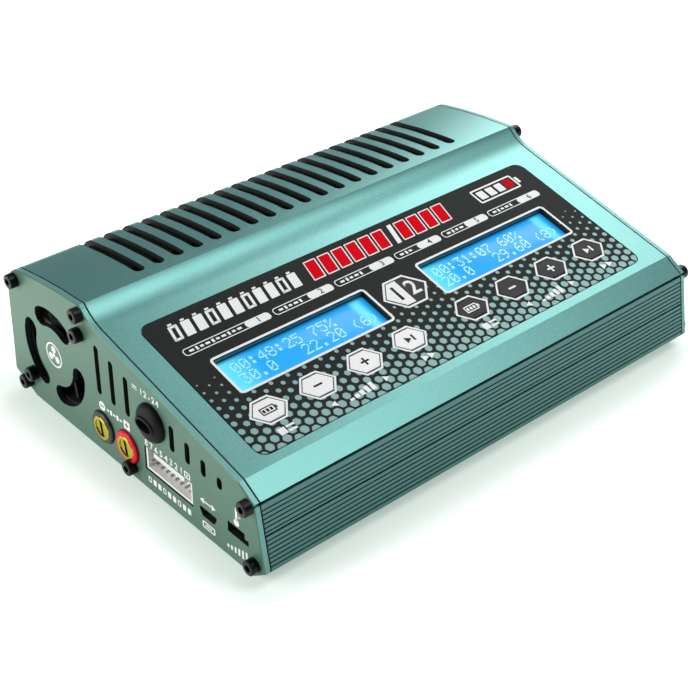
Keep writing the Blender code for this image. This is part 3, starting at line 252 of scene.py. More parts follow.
def anodised(name, colour, roughness, metallic, speckle, shape, curve=None):
    """Bead-blasted, dyed aluminium: fine grain, slight cloudiness of the dye, soft gloss.

    shape() gives the rim's share, which gets a painted highlight, and the share of painted shade on
    the walls of slots and seams."""
    made, place, inputs = finish(name, roughness, metallic, gloss=0.4)
    fine = grain(place, 1800.0, 3.0)
    cloud = grain(place, 38.0, 2.0)
    tone = (fine - 0.5) * speckle + (cloud - 0.5) * 0.10 + 0.5
    face = place.between(tone, rgba(colour, 0.72), rgba(colour, 1.28))
    turned = place.node("ShaderNodeNewGeometry", output=3).split()
    rim, painted_shade = shape(place, abs(turned[0]))
    if rim is not None:
        # painted highlight: the plate's rim takes the case's teal, up to a third lighter
        rim_highlight = place.between(tone, rgba(colours().case, 0.8), rgba(colours().case, 1.35))
        face = place.between(rim, face, rim_highlight)
    # painted shade: walls of slots and seams are painted nearly black, not metallic and rougher
    feed(inputs, Base_Color=place.between(painted_shade, face, (0.006, 0.008, 0.008, 1)),
         Metallic=(1.0 - painted_shade) * metallic,
         Roughness=(fine - 0.5) * 0.16 + (cloud - 0.5) * 0.06 + painted_shade * 0.3 + roughness,
         Normal=bump(place, fine, 0.25, 0.00004, curve and curve(place)))
    return made


def shell_shape(place, across):
    """Painted shade: slot walls and the shell's ends, which face along its length, are painted dark as
    the shade in the slots and in the seam at each plate.
    """
    x = abs(place.split()[0])
    return None, place.maths("MAXIMUM", across.smooth(0.3, 0.6), x.smooth(0.0963, 0.0966))


def plate_shape(place, across):
    """The walls of the openings lie well inside the outline and get painted shade; the rim lies on it
    and gets a painted highlight.
    """
    _, y, z = place.split()
    slope = (y - PANEL_Y) * math.sin(SLOPE) - (z - PANEL_Z) * math.cos(SLOPE)
    run = y - ROOF_EDGE
    inside = 0.0552 - run * 0.0454 - run * run * 1.95 - z
    front = y + HALF_DEPTH - (z - 0.007) * 0.196
    for depth in (slope, front, HALF_DEPTH - y, z - 0.0013):
        inside = place.maths("MINIMUM", inside, depth)
    wall = across.smooth(0.7, 0.4)
    return wall * inside.smooth(0.0034, 0.0030), wall * inside.smooth(0.0030, 0.0034)


def moulded(name, colour, roughness=0.5, texture=1400.0, depth=0.2, **more):
    """Moulded plastic, rubber or ink with its own fine texture and slight unevenness."""
    made, place, inputs = finish(name, roughness, **more)
    fine = grain(place, texture, 2.0)
    broad = grain(place, 120.0, 2.0)
    tone = (fine - 0.5) * 0.3 + (broad - 0.5) * 0.3 + 0.5
    feed(inputs, Base_Color=place.between(tone, rgba(colour, 0.86), rgba(colour, 1.14)),
         Roughness=(broad - 0.5) * 0.2 + (fine - 0.5) * 0.1 + roughness,
         Normal=bump(place, fine, depth, 0.00003))
    return made


def plated(name, colour, roughness=0.25):
    """Plated or bare metal with faint tool marks."""
    made, place, inputs = finish(name, roughness, 1.0)
    marks = grain(place, 900.0, 3.0, Distortion=0.6)
    feed(inputs, Base_Color=place.between(marks, rgba(colour, 0.75), rgba(colour, 1.15)),
         Roughness=(marks - 0.5) * 0.3 + roughness,
         Normal=bump(place, marks, 0.12, 0.00003))
    return made


def panel_place(place):
    """Object coordinates turned into millimetres along and up the sloped panel."""
    x, y, z = place.split()
    along = (x + CASE_END) * 1000.0
    up = ((y - PANEL_Y) * math.cos(SLOPE) + (z - PANEL_Z) * math.sin(SLOPE)) * 1000.0
    return along, up


def label_film():
    """Satin film; towards its lower edge a grid of growing hexagons shows the case's colour."""
    made, place, inputs = finish("label_film", 0.6, 0.0, gloss=0.03)
    x, s = panel_place(place)
    column, row = 3.36, 3.73          # half the pitch along the panel, the pitch up it
    nearest = None
    for shift_x, shift_s in ((0.0, 0.0), (column, row / 2)):
        dx = abs(x.maths("WRAP", x - (13.0 + shift_x), column, -column))
        ds = abs(s.maths("WRAP", s - (22.5 + shift_s), row / 2, -row / 2))
        hexagon = s.maths("MAXIMUM", ds, dx * 0.866 + ds * 0.5)
        disc = s.maths("SQRT", dx * dx + ds * ds)
        away = hexagon * 0.6 + disc * 0.4
        nearest = away if nearest is None else away.maths("MINIMUM", nearest, away)
    radius = 1.66 - s * 0.0362
    dots = (nearest - radius).smooth(0.06, -0.06) * s.smooth(39.5, 37.0)
    fine = grain(place, 2200.0, 2.0)
    ground = place.between(fine, rgba(colours().film, 0.85), rgba(colours().film, 1.15))
    pale = [channel * 0.7 + 0.12 for channel in colours().case]
    shown = place.between(fine, rgba(pale, 0.9), rgba(pale, 1.3))
    feed(inputs, Base_Color=place.between(dots, ground, shown),
         Metallic=dots * 0.35,
         Roughness=(fine - 0.5) * 0.12 + 0.5,
         Normal=bump(place, fine, 0.1, 0.00002))
    return made


def lit_screen(side):
    """Backlit display: blue, brighter at both ends, with a painted shadow of the window's bezel
    dimming it along the top and right.
    """
    made, place, inputs = finish("screen_" + side, 0.3, 0.0, gloss=0.12)
    x, s = panel_place(place)
    x = x - (WINDOW_X[side == "right"] - 31.4)
    left = x.smooth(15.0, 0.5)
    right = abs(x - 58.0).smooth(3.2, 0.5)
    # painted shadow of the bezel: along the top and right edges the backlight drops to about a fifth
    shade = x.smooth(63.5, 60.5) * s.smooth(43.6, 41.6)
    glow = place.maths("MINIMUM", left + right * 0.9, 1.0)
    light = place.between(glow, rgba(colours().screen), rgba(colours().screen_glow))
    bezel_shadow = place.between(shade, rgba(colours().screen, 0.18), light)
    fine = grain(place, 1500.0, 1.0)
    feed(inputs, Base_Color=place.between(fine, (0.01, 0.04, 0.12, 1), (0.015, 0.05, 0.14, 1)),
         Emission_Color=bezel_shadow)
    inputs["Emission Strength"].default_value = 0.95
    return made


def lit_digits():
    made, place, inputs = finish("lit_digits", 0.3)
    fine = grain(place, 900.0, 1.0)
    lit = colours().digits
    feed(inputs, Base_Color=place.between(fine, rgba(lit, 0.5), rgba(lit, 0.6)),
         Emission_Color=place.between(fine, rgba(lit, 0.8), rgba(lit)))
    inputs["Emission Strength"].default_value = 0.75
    return made


def circuit_board():
    """Solder mask with a lighter grid of traces."""
    made, place, inputs = finish("circuit_board", 0.35)
    traces = place.node("ShaderNodeTexBrick", None,
                        {"Vector": place, "Scale": 260.0, "Mortar Size": 0.03,
                         "Color1": (0.008, 0.045, 0.02, 1), "Color2": (0.01, 0.06, 0.025, 1),
                         "Mortar": (0.03, 0.14, 0.06, 1)})
    feed(inputs, Base_Color=traces,
         Roughness=grain(place, 300.0) * 0.2 + 0.3)
    return made


def woven_screen():
    """Fine dark mesh behind the slots."""
    made, place, inputs = finish("woven_screen", 0.6, 0.2)
    x, y, _ = place.split()
    weave = 3600.0
    warp, weft = abs(x.maths("SINE", x * weave)), abs(x.maths("SINE", y * weave))
    threads = x.maths("MAXIMUM", warp, weft).smooth(0.55, 0.95)
    black, thread = (0.002, 0.002, 0.002, 1), (0.016, 0.017, 0.017, 1)
    feed(inputs, Base_Color=place.between(threads, black, thread),
         Roughness=threads * 0.3 + 0.5,
         Normal=bump(place, threads, 0.5, 0.0001))
    return made


MAKERS = {
    "case": lambda: anodised("anodised_case", colours().case, 0.38, 0.7, 0.95,
                             shell_shape, drawn_curve),
    # the lower shell's ribs: the case's colour at half strength, painted shade for faces turned away
    # from the lamps
    "ribs": lambda: anodised("anodised_ribs_painted_shade", [channel * 0.5 for channel in colours().case],
                             0.38, 0.7, 0.55, shell_shape),
    "plate": lambda: anodised("anodised_plate", colours().plate, 0.42, 0.45, 0.4, plate_shape),
    "film": label_film,
    "white_ink": lambda: moulded("white_ink", colours().white_ink, 0.5, gloss=0.2),
    "red_ink": lambda: moulded("red_ink", colours().red_ink, 0.5, gloss=0.0),
    "dark_ink": lambda: moulded("dark_ink", linear(38, 40, 39), 0.5, gloss=0.12),
    "plate_ink": lambda: moulded("plate_tone", colours().plate, 0.45),
    "screw": lambda: moulded("black_oxide", linear(13, 13, 15), 0.34, 900.0, 0.15,
                             metallic=0.4, gloss=0.35),
    "rubber": lambda: moulded("rubber", colours().rubber, 0.58, 1100.0, 0.35, gloss=0.16),
    "black": lambda: moulded("black_plastic", linear(22, 23, 25), 0.45, 800.0, 0.3),
    "key_light": lambda: moulded("light_key", colours().key_light, 0.42),
    "key_dark": lambda: moulded("dark_key", colours().key_dark, 0.5, gloss=0.15),
    "socket_red": lambda: moulded("red_ring", colours().socket_red, 0.4, gloss=0.2),
    "socket_grey": lambda: moulded("grey_ring", colours().socket_grey, 0.45),
    "nylon": lambda: moulded("connector_nylon", linear(236, 235, 230), 0.5, 700.0, 0.2),
    "gold": lambda: plated("gold_plate", colours().gold, 0.22),
    "steel": lambda: plated("bright_steel", linear(176, 178, 180), 0.28),
    "board": circuit_board,
    "mesh": woven_screen,
    "digits": lit_digits,
    "screen_left": lambda: lit_screen("left"),
    "screen_right": lambda: lit_screen("right"),
}
MADE = {}


def finish_of(name):
    """The shared finish of that name, made the first time it is wanted."""
    if name not in MADE:
        MADE[name] = MAKERS[name]()
    return MADE[name]


def dress(node, name):
    for place in NODES[node].material_slots:
        place.material = finish_of(name)


# --- modelling
def deselect():
    if bpy.context.object and bpy.context.object.mode != "OBJECT":
        bpy.ops.object.mode_set(mode="OBJECT")
    bpy.ops.object.select_all(action="DESELECT")


def begin(primitive, **settings):
    """Adds a primitive at its size and place, with the place in its mesh, and opens it for editing."""
    deselect()
    getattr(bpy.ops.mesh, "primitive_%s_add" % primitive)(**settings)
    bpy.ops.object.transform_apply(location=True, rotation=True, scale=True)
    bpy.ops.object.mode_set(mode="EDIT")
    return bpy.context.object


def only(obj):
    deselect()
    obj.select_set(True)
    bpy.context.view_layer.objects.active = obj


def pick(kind, test):
    """In edit mode, selects the verts or faces that pass a test, and nothing else."""
    obj = bpy.context.object
    bpy.ops.mesh.select_mode(type=kind)
    bpy.ops.mesh.select_all(action="DESELECT")
    mesh = bmesh.from_edit_mesh(obj.data)
    for item in (mesh.verts if kind == "VERT" else mesh.faces):
        if not item.hide and test(item.co if kind == "VERT" else item):
            item.select_set(True)
    mesh.select_flush(True)
    bmesh.update_edit_mesh(obj.data)


def pick_top():
    pick("FACE", lambda face: face.normal.z > 0.9)


def pick_foot():
    pick("FACE", lambda face: face.normal.z < -0.9)


def pick_all():
    bpy.ops.mesh.select_all(action="SELECT")


def rounded(width, segments, affect="EDGES"):
    bpy.ops.mesh.bevel(offset=width * MM, segments=segments, affect=affect)


def scale(x, y, z, centre):
    bpy.ops.transform.resize(value=(x, y, z), center_override=centre)


def move(x, y, z):
    bpy.ops.transform.translate(value=(x, y, z))


def raise_region(distance):
    bpy.ops.mesh.extrude_region_move(TRANSFORM_OT_translate={"value": (0, 0, distance)})


def outwards():
    """Merges doubles and turns every face outwards; leaves edit mode."""
    bpy.ops.mesh.reveal()
    pick_all()
    bpy.ops.mesh.remove_doubles(threshold=1e-7)
    bpy.ops.mesh.normals_make_consistent(inside=False)
    bpy.ops.object.mode_set(mode="OBJECT")


def settle(obj, place, name, material, body="case", smooth=35.0):
    """Lays a finished piece in its place, with the place in its mesh."""
    only(obj)
    obj.matrix_world = place
    bpy.ops.object.transform_apply(location=True, rotation=True, scale=True)
    if smooth:
        bpy.ops.object.shade_smooth_by_angle(angle=math.radians(smooth))
    obj.name = obj.data.name = name
    obj.data.materials.clear()
    obj.data.materials.append(finish_of(material))
    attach(obj, body)
    return obj


def copied(obj):
    only(obj)
    bpy.ops.object.duplicate(linked=False)
    return bpy.context.object


def removed(obj):
    only(obj)
    bpy.ops.object.delete()


def cut_away(obj, tool):
    only(obj)
    cutter = obj.modifiers.new("cut", "BOOLEAN")
    cutter.operation, cutter.solver, cutter.object = "DIFFERENCE", "EXACT", tool
    bpy.ops.object.modifier_apply(modifier="cut")
    removed(tool)


class Print:
    """Flat marks drawn in one mesh, in millimetres, then raised to the ink's thickness."""

    def __init__(self):
        self.obj = begin("plane", size=MM)
        self.words = []
        bpy.ops.mesh.select_mode(type="VERT")
        bpy.ops.mesh.delete(type="VERT")

    def close(self, line, slant, middle):
        """Slants and hollows the shape just drawn, then puts it out of reach of the next one."""
        if slant:
            pick("VERT", lambda co: co.y > middle * MM)
            move(slant * MM, 0, 0)
        if line:
            bpy.ops.mesh.select_mode(type="FACE")
            pick_all()
            bpy.ops.mesh.inset(thickness=line * MM, depth=0)
            bpy.ops.mesh.delete(type="FACE")
        pick_all()
        bpy.ops.mesh.hide(unselected=False)

    def block(self, x, y, width, height, slant=0.0, corner=0.0, line=0.0):
        centre = (x * MM, y * MM, 0)
        bpy.ops.mesh.primitive_plane_add(size=MM, location=centre)
        scale(width, height, 1, centre)
        if corner:
            rounded(corner, 4, "VERTICES")
        self.close(line, slant, y)

    def spot(self, x, y, width, line=0.0, corners=28, turn=0.0):
        """Disc, ring or shape with few corners."""
        centre = (x * MM, y * MM, 0)
        bpy.ops.mesh.primitive_circle_add(vertices=corners, radius=MM / 2, fill_type="NGON",
                                          location=centre, rotation=(0, 0, turn))
        scale(width, width, 1, centre)
        self.close(line, 0.0, y)

    def hexagon(self, x, y, width, height, line=0.0, half=0):
        """Hexagon with points left and right, as the keys are; half -1 or 1 keeps one half."""
        centre = (x * MM, y * MM, 0)
        shoulder = width / 2 - height / 2 / math.tan(math.radians(52))
        bpy.ops.mesh.primitive_circle_add(vertices=6, radius=MM, fill_type="NGON",
                                          location=centre, rotation=(0, 0, math.pi / 2))
        scale(2 * shoulder, height / math.sqrt(3), 1, centre)
        for side in (-1, 1):
            pick("VERT", lambda co: side * (co.x - centre[0]) > 1.5 * shoulder * MM)
            move(side * (width / 2 - 2 * shoulder) * MM, 0, 0)
        if half:
            pick_all()
            bpy.ops.mesh.bisect(plane_co=centre, plane_no=(-half, 0, 0), use_fill=False,
                                clear_outer=True)
        self.close(line, 0.0, y)

    def triangle(self, x, y, size, turn=0.0):
        self.spot(x, y, size, corners=3, turn=turn)

    def word(self, x, y, figures, size, bold):
        self.words.append((x, y, figures, size, bold))

    def lay(self, face, lift, name, material, body="case", thickness=None):
        """Adds the figures, raises all to the ink's thickness and lays it on a face."""
        bpy.ops.mesh.reveal()
        deselect()
        made = []
        for x, y, figures, size, bold in self.words:
            bpy.ops.object.text_add(location=(x * MM, y * MM, 0))
            text = bpy.context.object
            text.data.body, text.data.size = figures, size * MM
            text.data.align_x, text.data.align_y = "CENTER", "CENTER"
            text.data.offset, text.data.resolution_u = bold * MM, 3
            bpy.ops.object.convert(target="MESH")
            made.append(bpy.context.object)
            deselect()
        for obj in made:
            obj.select_set(True)
        self.obj.select_set(True)
        bpy.context.view_layer.objects.active = self.obj
        if made:
            bpy.ops.object.join()
        bpy.ops.object.mode_set(mode="EDIT")
        bpy.ops.mesh.select_mode(type="FACE")
        pick_all()
        bpy.ops.mesh.remove_doubles(threshold=1e-7)
        raise_region(thickness * MM if thickness else sizes().ink)
        outwards()
        place = face @ Matrix.Translation((0, 0, lift * MM))
        return settle(self.obj, place, name, material, body, smooth=0.0)


def on_plate(node):
    """Axes of the end plate that a node sits in, centred on the node."""
    side = RIGHT if node.endswith("right") else LEFT
    lo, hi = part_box(node)
    middle = (lo + hi) / 2
    return PLATE[side] @ Matrix.Translation((side * middle.y, middle.z, 0))


def key_centre(node):
    """Middle of a key, in millimetres on the panel."""
    lo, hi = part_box(node)
    place = PANEL.inverted() @ ((Vector(lo) + Vector(hi)) / 2)
    return place.x / MM, (WINDOW_S if node == "key_channel" else KEY_S)


class Maker:
    """Shared parts of the operators."""
    bl_options = {"REGISTER", "UNDO"}

    def execute(self, context):
        self.make()
        return {"FINISHED"}


# --- stage
class ChargerStage(Maker, bpy.types.Operator):
    """Camera, pale floor, white background and soft lamps"""
    bl_idname = "charger.stage"
    bl_label = "Stage"

    def make(self):
        scene = bpy.context.scene
        scene.view_settings.view_transform = "Standard"
        deselect()
        bpy.ops.object.camera_add()
        camera = bpy.context.object
        camera.name = "photo_camera"
        right = Vector((0.74777, -0.66383, 0.01279))
        up = Vector((0.36783, 0.43022, 0.82439))
        forward = Vector((0.55276, 0.61175, -0.56588))
        eye = Vector((-0.30013, -0.32748, 0.31065))
        camera.matrix_world = Matrix(((right.x, up.x, -forward.x, eye.x),
                                      (right.y, up.y, -forward.y, eye.y),
                                      (right.z, up.z, -forward.z, eye.z), (0, 0, 0, 1)))
        camera.data.lens, camera.data.sensor_width = 77.24, 36.0
        camera.data.clip_start, camera.data.clip_end = 0.01, 50.0
        scene.camera = camera
        self.floor()
        self.world(scene)
        for name, direction, distance, width, depth, power in (
                ("lamp_front", (0.34, -0.33, 0.88), 1.3, 0.65, 0.65, 6.4),
                ("lamp_right", (0.74, 0.40, 0.54), 1.3, 0.7, 0.9, 10.0),
                ("lamp_left", (-0.84, 0.42, 0.30), 1.5, 0.9, 0.8, 18.0)):
            deselect()
            bpy.ops.object.light_add(type="AREA")
            lamp = bpy.context.object
            lamp.name = name
            lamp.data.shape, lamp.data.size, lamp.data.size_y = "RECTANGLE", width, depth
            lamp.data.energy = power
            way = Vector(direction).normalized()
            lamp.location = way * distance
            lamp.rotation_euler = way.to_track_quat("Z", "Y").to_euler()

    def floor(self):
        floor = begin("plane", size=8.0)
        floor.name = "floor"
        bpy.ops.mesh.subdivide(number_cuts=3)
        bpy.ops.object.mode_set(mode="OBJECT")
        made = bpy.data.materials.new("pale_floor_painted_shadow")
        start = bare_tree(made)
        path = start.node("ShaderNodeLightPath").socket.node.outputs
        seen, mirrored, through = (Shade(start.tree, path["Is %s Ray" % kind])
                                   for kind in ("Camera", "Glossy", "Transmission"))
        rays = start.maths("MAXIMUM", seen, start.maths("MAXIMUM", mirrored, through))
        matt = start.node("ShaderNodeBsdfDiffuse", None, {"Color": (0.74, 0.77, 0.75, 1)})
        # plain white from 34 mm away on; nearer the case the glow fades to greenish grey, a painted
        # shadow on top of the cast one
        x, y, _ = start.node("ShaderNodeTexCoord", output=3).split()
        past_end = x.maths("MAXIMUM", abs(x) - CASE_END, 0.0)
        past_front = y.maths("MAXIMUM", abs(y) - 0.069, 0.0)
        away = start.maths("SQRT", past_end * past_end + past_front * past_front)
        pale = start.between(away.smooth(0.0, 0.034), (0.38, 0.44, 0.4, 1), (1, 1, 1, 1))
        glow = start.node("ShaderNodeEmission", None, {"Color": pale, "Strength": 1.0})
        both = start.node("ShaderNodeAddShader", None, {0: matt, 1: glow})
        shown_by("ShaderNodeOutputMaterial",
                 start.node("ShaderNodeMixShader", None, {0: rays, 1: matt, 2: both}))
        floor.data.materials.append(made)

    def world(self, scene):
        scene.world = bpy.data.worlds.new("studio")
        start = bare_tree(scene.world)
        seen = start.node("ShaderNodeLightPath")
        soft = start.node("ShaderNodeBackground", None,
                          {"Color": (0.93, 0.97, 1.0, 1), "Strength": 0.16})
        white = start.node("ShaderNodeBackground", None, {"Color": (1, 1, 1, 1), "Strength": 1.0})
        shown_by("ShaderNodeOutputWorld",
                 start.node("ShaderNodeMixShader", None, {0: seen, 1: soft, 2: white}))


# --- finishes
class ChargerFinishes(Maker, bpy.types.Operator):
    """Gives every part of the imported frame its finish"""
    bl_idname = "charger.finishes"
    bl_label = "Finishes"

    def make(self):
        starts = (("upper_shell", "case"), ("lower_shell", "ribs"), ("end_plate", "plate"),
                  ("plate_screw", "screw"), ("fan_screw", "screw"), ("fan_", "black"),
                  ("label_overlay", "film"), ("lcd_module", "black"), ("key_", "key_light"),
                  ("socket_neg", "socket_grey"), ("socket_pos", "socket_red"), ("contact_", "gold"),
                  ("balance_port", "nylon"), ("usb_port", "steel"), ("temp_port", "black"),
                  ("cable_grommet", "rubber"), ("foot_", "rubber"), ("dust_screen", "mesh"),
                  ("main_board", "board"), ("display_board", "board"))
        for node in NODES:
            name = next(name for start, name in starts if node.startswith(start))
            if node in ("key_5", "key_6", "key_7", "key_8", "key_channel"):
                name = "key_dark"
            dress(node, name)


# --- screws
class ChargerScrews(Maker, bpy.types.Operator):
    """Knurled cap screws with a hex drive, modelled once and copied"""
    bl_idname = "charger.screws"
    bl_label = "Cap screws"

    def make(self):
        radius, height = sizes().head_radius, sizes().head_height
        barrel, low, sides = radius * 0.965, 0.1 * MM, 48
        centre = low + height / 2
        screw = begin("cylinder", vertices=sides, radius=barrel, depth=height,
                      location=(0, 0, centre))
        pick_top()
        rounded(0.3, 3)
        # every second side face stands out as the knurling
        steps = sides / math.tau
        pick("FACE", lambda face: abs(face.normal.z) < 0.2
             and abs(face.calc_center_median().z - centre) < height * 0.2
             and int(round(math.atan2(face.normal.y, face.normal.x) * steps - 0.5)) % 2 == 0)
        bpy.ops.mesh.inset(thickness=0.03 * MM, depth=radius * 0.035, use_individual=True)
        # the shank, down into the screw port
        pick_foot()
        bpy.ops.mesh.inset(thickness=barrel - 1.1 * MM)
        raise_region(-3.5 * MM)
        outwards()
        tool = begin("cylinder", vertices=6, radius=sizes().hex_socket, depth=3.2 * MM,
                     location=(0, 0, low + height))
        pick_foot()
        raise_region(-0.35 * MM)
        scale(0.2, 0.2, 1, (0, 0, 0))
        outwards()
        cut_away(screw, tool)
        for node in sorted(NODES):
            if node.startswith(("plate_screw", "fan_screw")):
                piece = settle(copied(screw), on_plate(node), "cap_" + node, "screw")
                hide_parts(node)
        removed(screw)


# --- grommet
class ChargerGrommet(Maker, bpy.types.Operator):
    """Domed rubber grommet with its slot for the supply cable"""
    bl_idname = "charger.grommet"
    bl_label = "Cable grommet"

    def make(self):
        grown, height = 1.0, 0.05
        grommet = begin("circle", vertices=48, radius=sizes().dome_radius, fill_type="NGON",
                        location=(0, 0, height * MM))
        for share, level in ((1.0, 0.45), (0.985, 0.9), (0.95, 1.35), (0.895, 1.8), (0.82, 2.2),
                             (0.74, 2.5), (0.66, 2.7)):
            raise_region((level - height) * MM)
            scale(share / grown, share / grown, 1, (0, 0, 0))
            grown, height = share, level
        # the round top becomes the long lip of the slot
        for side in (-1, 1):
            pick("VERT", lambda co: co.z > 2.69 * MM and side * co.x > 0.02 * MM)
            move(side * 0.9 * MM, 0, 0)
        pick("FACE", lambda face: face.normal.z > 0.9 and face.calc_center_median().z > 2.65 * MM)
        scale(0.88, 0.62, 1, (0, 0, 0))
        raise_region(0.45 * MM)
        scale(0.98, 0.97, 1, (0, 0, 0))
        raise_region(0.2 * MM)
        scale(0.95, 0.92, 1, (0, 0, 0))
        bpy.ops.mesh.inset(thickness=0.62 * MM)
        raise_region(-0.25 * MM)
        scale(0.98, 0.95, 1, (0, 0, 0))
        raise_region(-3.0 * MM)
        outwards()
        piece = settle(grommet, on_plate("cable_grommet"), "grommet_dome", "rubber",
                       smooth=50.0)
        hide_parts("cable_grommet")


# --- contacts
class ChargerContacts(Maker, bpy.types.Operator):
    """Slotted, plated output contacts"""
    bl_idname = "charger.contacts"
    bl_label = "Output contacts"

    def make(self):
        lo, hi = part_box("contact_neg_left")
        radius = (hi.y - lo.y) / 2
        depth, collar = 6.0 * MM, 0.3 * MM
        rim = -CASE_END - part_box("socket_neg_left")[0].x + 0.01 * MM
        contact = begin("cylinder", vertices=40, radius=radius, depth=depth,
                        location=(0, 0, rim - depth / 2))
        # a collar lies on the moulded ring
        pick_top()
        raise_region(0)
        scale(1.27, 1.27, 1, (0, 0, 0))
        raise_region(collar)
        rounded(0.25, 4)
        pick("FACE", lambda face: face.normal.z > 0.99 and face.calc_area() > radius * radius)
        bpy.ops.mesh.inset(thickness=radius * 0.25)
        raise_region(-0.35 * MM)
        outwards()
        # the slot, nearly as long as the tube is wide
        tool = begin("plane", size=MM, location=(0, 0, rim + collar - 3.5 * MM))
        scale(1.72 * radius / MM, 1.35, 1, (0, 0, 0))
        bpy.ops.transform.rotate(value=math.radians(80), orient_axis="Z", center_override=(0, 0, 0))
        raise_region(5.0 * MM)
        outwards()
        cut_away(contact, tool)
        for node in sorted(NODES):
            if node.startswith("contact_"):
                name = node.replace("contact", "slotted_contact")
                piece = settle(copied(contact), on_plate(node), name, "gold")
                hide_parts(node)
        removed(contact)


# --- headers
class ChargerHeaders(Maker, bpy.types.Operator):
    """White balance headers: an open box with a part upper wall and a row of pins"""
    bl_idname = "charger.headers"
    bl_label = "Balance headers"

    def make(self):
        for side in (LEFT, RIGHT):
            self.header(side, SIDE_NAME[side])

    def header(self, side, name):
        lo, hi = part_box("balance_port_" + name)
        middle, half, tall = side * (lo.y + hi.y) / 2, (hi.y - lo.y) / 2, hi.z - lo.z
        wall, pocket, length = 1.0 * MM, 4.2 * MM, 11.0 * MM
        centre = (middle, (lo.z + hi.z) / 2, -0.4 * MM)
        header = begin("plane", size=MM, location=centre)
        scale(2 * half / MM, tall / MM, 1, centre)
        raise_region(-length)
        pick_all()
        bpy.ops.mesh.normals_make_consistent(inside=False)
        # the open mouth: thin floor and sides, thicker upper wall
        pick_top()
        bpy.ops.mesh.inset(thickness=wall)
        pick("VERT", lambda co: abs(co.x - middle) < half - 0.5 * MM and co.y > centre[1]
             and co.z > -1 * MM)
        move(0, -1.1 * MM, 0)
        pick("FACE", lambda face: face.normal.z > 0.9
             and abs(face.calc_center_median().x - middle) < 1 * MM
             and abs(face.calc_center_median().y - centre[1]) < 1.2 * MM)
        raise_region(-pocket)
        outwards()
        # a notch in the upper wall near each end
        for end in (-1, 1):
            place = (middle + end * (half - 2.6 * MM), hi.z, -3.0 * MM)
            tool = begin("cube", size=MM, location=place)
            scale(3.2, 5.0, 7.0, place)
            pick_all()
            rounded(0.15, 1)
            outwards()
            cut_away(header, tool)
        piece = settle(header, PLATE[side], "balance_header_" + name, "nylon")
        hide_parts("balance_port_" + name)
        # nine pins, the first four pitches from the middle
        place, pitch = (middle, centre[1] - 0.6 * MM, -4.6 * MM), 2.5 * MM
        pins = begin("cube", size=MM, location=place)
        scale(0.64, 0.64, 8.0, place)
        pick_top()
        rounded(0.16, 2)
        pick_all()
        move(-4 * pitch, 0, 0)
        for _ in range(8):
            bpy.ops.mesh.duplicate_move(TRANSFORM_OT_translate={"value": (pitch, 0, 0)})
        outwards()
        settle(pins, PLATE[side], "balance_pins_" + name, "steel")


